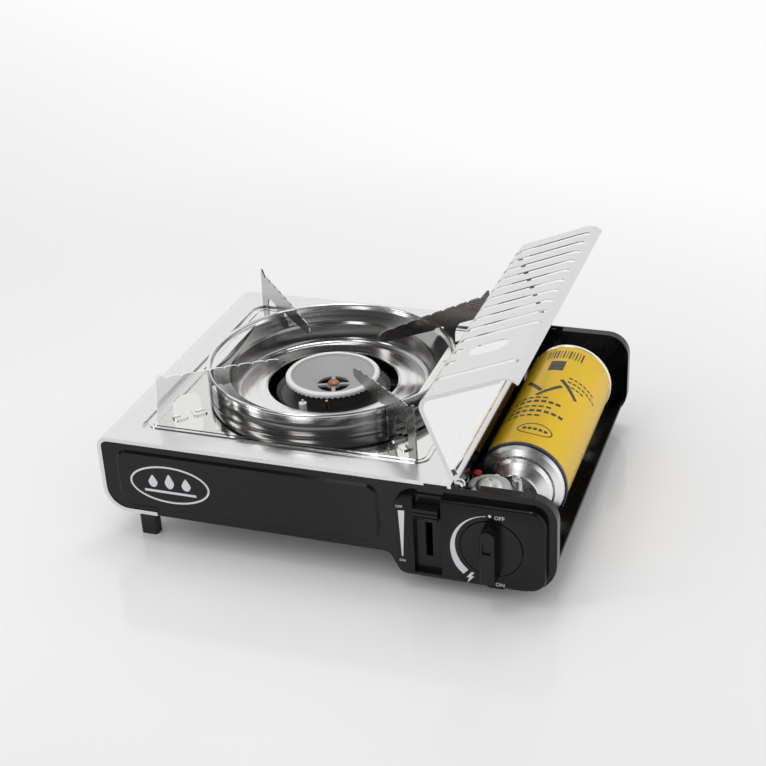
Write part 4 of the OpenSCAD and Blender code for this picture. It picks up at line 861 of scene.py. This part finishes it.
def dot(work, x, z, across):
    """A filled round dot."""
    made = bmesh.ops.create_circle(work, cap_ends=True, segments=DOT_STEPS, radius=0.5)
    for vert in made["verts"]:
        vert.co = (x + vert.co.x * across, 0, z + vert.co.y * across)


def words(work, text, x, z, height):
    """A generic word in capital letters, its lower left corner at x and z."""
    curve = bpy.data.curves.new("letters", "FONT")
    curve.body, curve.size, curve.resolution_u = text, height * FONT_SIZE_PER_CAPITAL, 2
    letters = bpy.data.objects.new("letters", curve)
    bpy.context.scene.collection.objects.link(letters)
    bpy.context.view_layer.update()
    flat = bpy.data.meshes.new_from_object(letters)
    extra = bmesh.new()
    extra.from_mesh(flat)
    for vert in extra.verts:
        vert.co = (x + vert.co.x, 0, z + vert.co.y)
    extra.to_mesh(flat)
    extra.free()
    work.from_mesh(flat)
    bpy.data.objects.remove(letters)
    bpy.data.curves.remove(curve)
    bpy.data.meshes.remove(flat)


print("a font is", FONT_SIZE_PER_CAPITAL, "times as large as its capital letters")

# %% [markdown]
# ## Marks on the control panel
# A white band grows round the knob from off to full, with a dot at off and a spark at the place
# where the igniter snaps. A wedge beside the lever shows which way the cartridge is locked. The
# band is a long grid bent round the knob, because a grid keeps even steps along the way.

# %% Print the control panel
CONTROL_FACE = -PANEL_DEPTH
BAND_INNER, BAND_STARTS, BAND_GROWS = 26.1, 26.5, 4.9
BAND_FROM, BAND_TO = 98, 230


def band_radii(share):
    """The band's inner and outer radius at a share of its way from off to full."""
    return BAND_INNER, BAND_STARTS + BAND_GROWS * min(1, share * 1.12) ** 1.5


dial = bmesh.new()
bent_band(dial, (KNOB_X, KNOB_Z), BAND_FROM, BAND_TO, band_radii)
dot(dial, 302.2, 70.1, 2.3)
words(dial, "OFF", 305.2, 68.0, 3.1)
words(dial, "ON", 305.6, 13.3, 3.1)
flat_face(dial, [(288.2, 21.8), (284.8, 16.9), (286.9, 17.2), (285.4, 12.6), (290.6, 18.6),
                 (288.4, 18.3), (290.6, 21.8)])
print_on_panel(dial, "dial_marks", CONTROL_FACE)
scale = bmesh.new()
flat_face(scale, [(236.2, 64.4), (240.9, 64.9), (238.6, 26.6), (237.7, 26.5)])
words(scale, "OFF", 234.4, 66.6, 2.2)
words(scale, "ON", 235.6, 22.0, 2.2)
print_on_panel(scale, "lever_marks", CONTROL_FACE)

# %% [markdown]
# ## The sign on the front
# The front panel has a plain oval sign with three little gas flames over a bar. The oval is a
# ring: a filled disc whose middle is cut away by an inset. A flame is a disc too, drawn out to
# a point at its top, which is why it needs no outline of its own.

# %% Print the sign
FRONT_FACE = -1.5
SIGN_X, SIGN_Z = 57.0, 54.0
SHOULDER, NEARLY_MIDDLE = 0.45, 0.001


def ring(work, centre, width, height, line):
    """An oval line of a given width."""
    made = bmesh.ops.create_circle(work, cap_ends=True, segments=72, radius=0.5)
    verts = made["verts"]
    for vert in verts:
        vert.co = (centre[0] + vert.co.x * width, 0, centre[1] + vert.co.y * height)
    face = verts[0].link_faces[0]
    work.normal_update()
    bmesh.ops.inset_region(work, faces=[face], thickness=line, use_boundary=True,
                           use_even_offset=True)
    bmesh.ops.delete(work, geom=[face], context="FACES_ONLY")


def flame(work, x, z, width, height):
    """A drop with its point up: round below its shoulder, and drawn in above it."""
    made = bmesh.ops.create_circle(work, cap_ends=True, segments=28, radius=0.5)
    for vert in made["verts"]:
        wide, up = vert.co.x, vert.co.y + 0.5
        if abs(wide) <= NEARLY_MIDDLE:
            wide = 0
        elif up >= SHOULDER:
            squeeze = (1 - up) / (1 - SHOULDER) * 0.9 + 0.1 * (1 - up)
            wide = math.copysign(0.5 * squeeze ** 0.8, wide)
        vert.co = (x + wide * width, 0, z + up * height)


sign = bmesh.new()
ring(sign, (SIGN_X, SIGN_Z), 64.5, 31.5, 1.5)
for step, height in ((-1, 10.5), (0, 12.5), (1, 10.5)):
    flame(sign, SIGN_X + 13.5 * step, SIGN_Z - 3.2, 7.6, height)
flat_face(sign, [(SIGN_X - 21, SIGN_Z - 7.4), (SIGN_X + 21, SIGN_Z - 7.4),
                 (SIGN_X + 21, SIGN_Z - 5.4), (SIGN_X - 21, SIGN_Z - 5.4)])
print_on_panel(sign, "panel_sign", FRONT_FACE)

# %% [markdown]
# ## The print on the cartridge
# A gas cartridge is printed flat, as a sheet, before it is rolled to a tube. The marks are made
# in the same order: bars are laid out on a flat sheet, cut into short pieces so that they can
# bend, and then rolled onto the tube. A bend modifier would do it too, but this is two lines of
# trigonometry and keeps the ink at an exact distance.

# %% Lay out bars and roll them onto the tube
INK_GAP, LONGEST_STEP = 0.01, 5


def flat_bar(work, along, around, length, width, turn=0.0):
    """A bar on the flat sheet: its middle, its size along and round the tube, and its turn."""
    grid = bmesh.ops.create_grid(work, x_segments=2, y_segments=max(2, int(width / 2)), size=0.5)
    place = (Matrix.Translation((along, around, 0)) @ Matrix.Rotation(math.radians(turn), 4, "Z")
             @ Matrix.Diagonal((length, width, 1, 1)))
    bmesh.ops.transform(work, matrix=place, verts=grid["verts"])


def roll_onto_tube(work, name, material):
    """Rolls the flat sheet onto the cartridge: x runs back along it, y round it from the top."""
    long_edges = [edge for edge in work.edges if edge.calc_length() > LONGEST_STEP]
    bmesh.ops.subdivide_edges(work, edges=long_edges, cuts=2, use_grid_fill=True)
    thicken(work, (0, 0, INK))
    for vert in work.verts:
        angle = vert.co.y / CAN_R
        radius = CAN_R + INK_GAP + vert.co.z
        vert.co = spot(CAN_X + radius * math.sin(angle), vert.co.x,
                       CAN_Z + radius * math.cos(angle))
    bmesh.ops.recalc_face_normals(work, faces=work.faces)
    place_piece(work, name, "cartridge", material)


print("the flat sheet is", round(2 * math.pi * CAN_R), "mm wide")

# %% [markdown]
# ## What the cartridge shows
# A real label carries a bar code, a name and lines of warnings. This one keeps only their
# rhythm: bars, a bent stroke, rows of dashes and an oval of short dashes with a few blocks
# inside. They are plain shapes and say nothing.

# %% Print the cartridge
BAR_WIDTHS = (1.4, 0.7, 1.0, 1.6, 0.7, 1.2, 0.6, 1.5, 0.8, 1.1, 0.7, 1.4)
STROKES = ((26, 52), (24, -48), (26, 50))
ROWS = ((138, 5), (132, 7), (124, 6), (117, 8), (110, 5))
OVAL_DASHES, OVAL_ALONG, OVAL_AROUND = 36, 7.5, 13
OVAL_MIDDLE = (90, 4)

label = bmesh.new()
for i, width in enumerate(BAR_WIDTHS):
    flat_bar(label, 212, -14 + 2.5 * i, 13, width)
flat_bar(label, 192, -3, 16, 12)
for i, (length, turn) in enumerate(STROKES):
    flat_bar(label, 160 - 9 * (i % 2), -14 + 14 * i, 3.4, length, turn)
for row, (start, dashes) in enumerate(ROWS):
    for i in range(dashes):
        flat_bar(label, start, -22 + 5.6 * i, 3.4 if row % 2 else 2.4, 3.9)
for i in range(OVAL_DASHES):
    angle = 2 * math.pi * i / OVAL_DASHES
    lean = math.atan2(-OVAL_ALONG * math.sin(angle), OVAL_AROUND * math.cos(angle))
    flat_bar(label, OVAL_MIDDLE[0] + OVAL_ALONG * math.cos(angle),
             OVAL_MIDDLE[1] + OVAL_AROUND * math.sin(angle), 1.0, 2.6, -math.degrees(lean))
for i in range(5):
    flat_bar(label, OVAL_MIDDLE[0], -4 + 4 * i, 3.2, 2.8)
for row, dashes in enumerate((6, 7, 4)):
    for i in range(dashes):
        flat_bar(label, 176 - 6 * row, 12 + 4.2 * i, 2.0, 3.0)
roll_onto_tube(label, "cartridge_print", dark_ink)

# %% [markdown]
# ## Finish
# The last call brings the view layer up to date.

# %% Finish
bpy.context.view_layer.update()
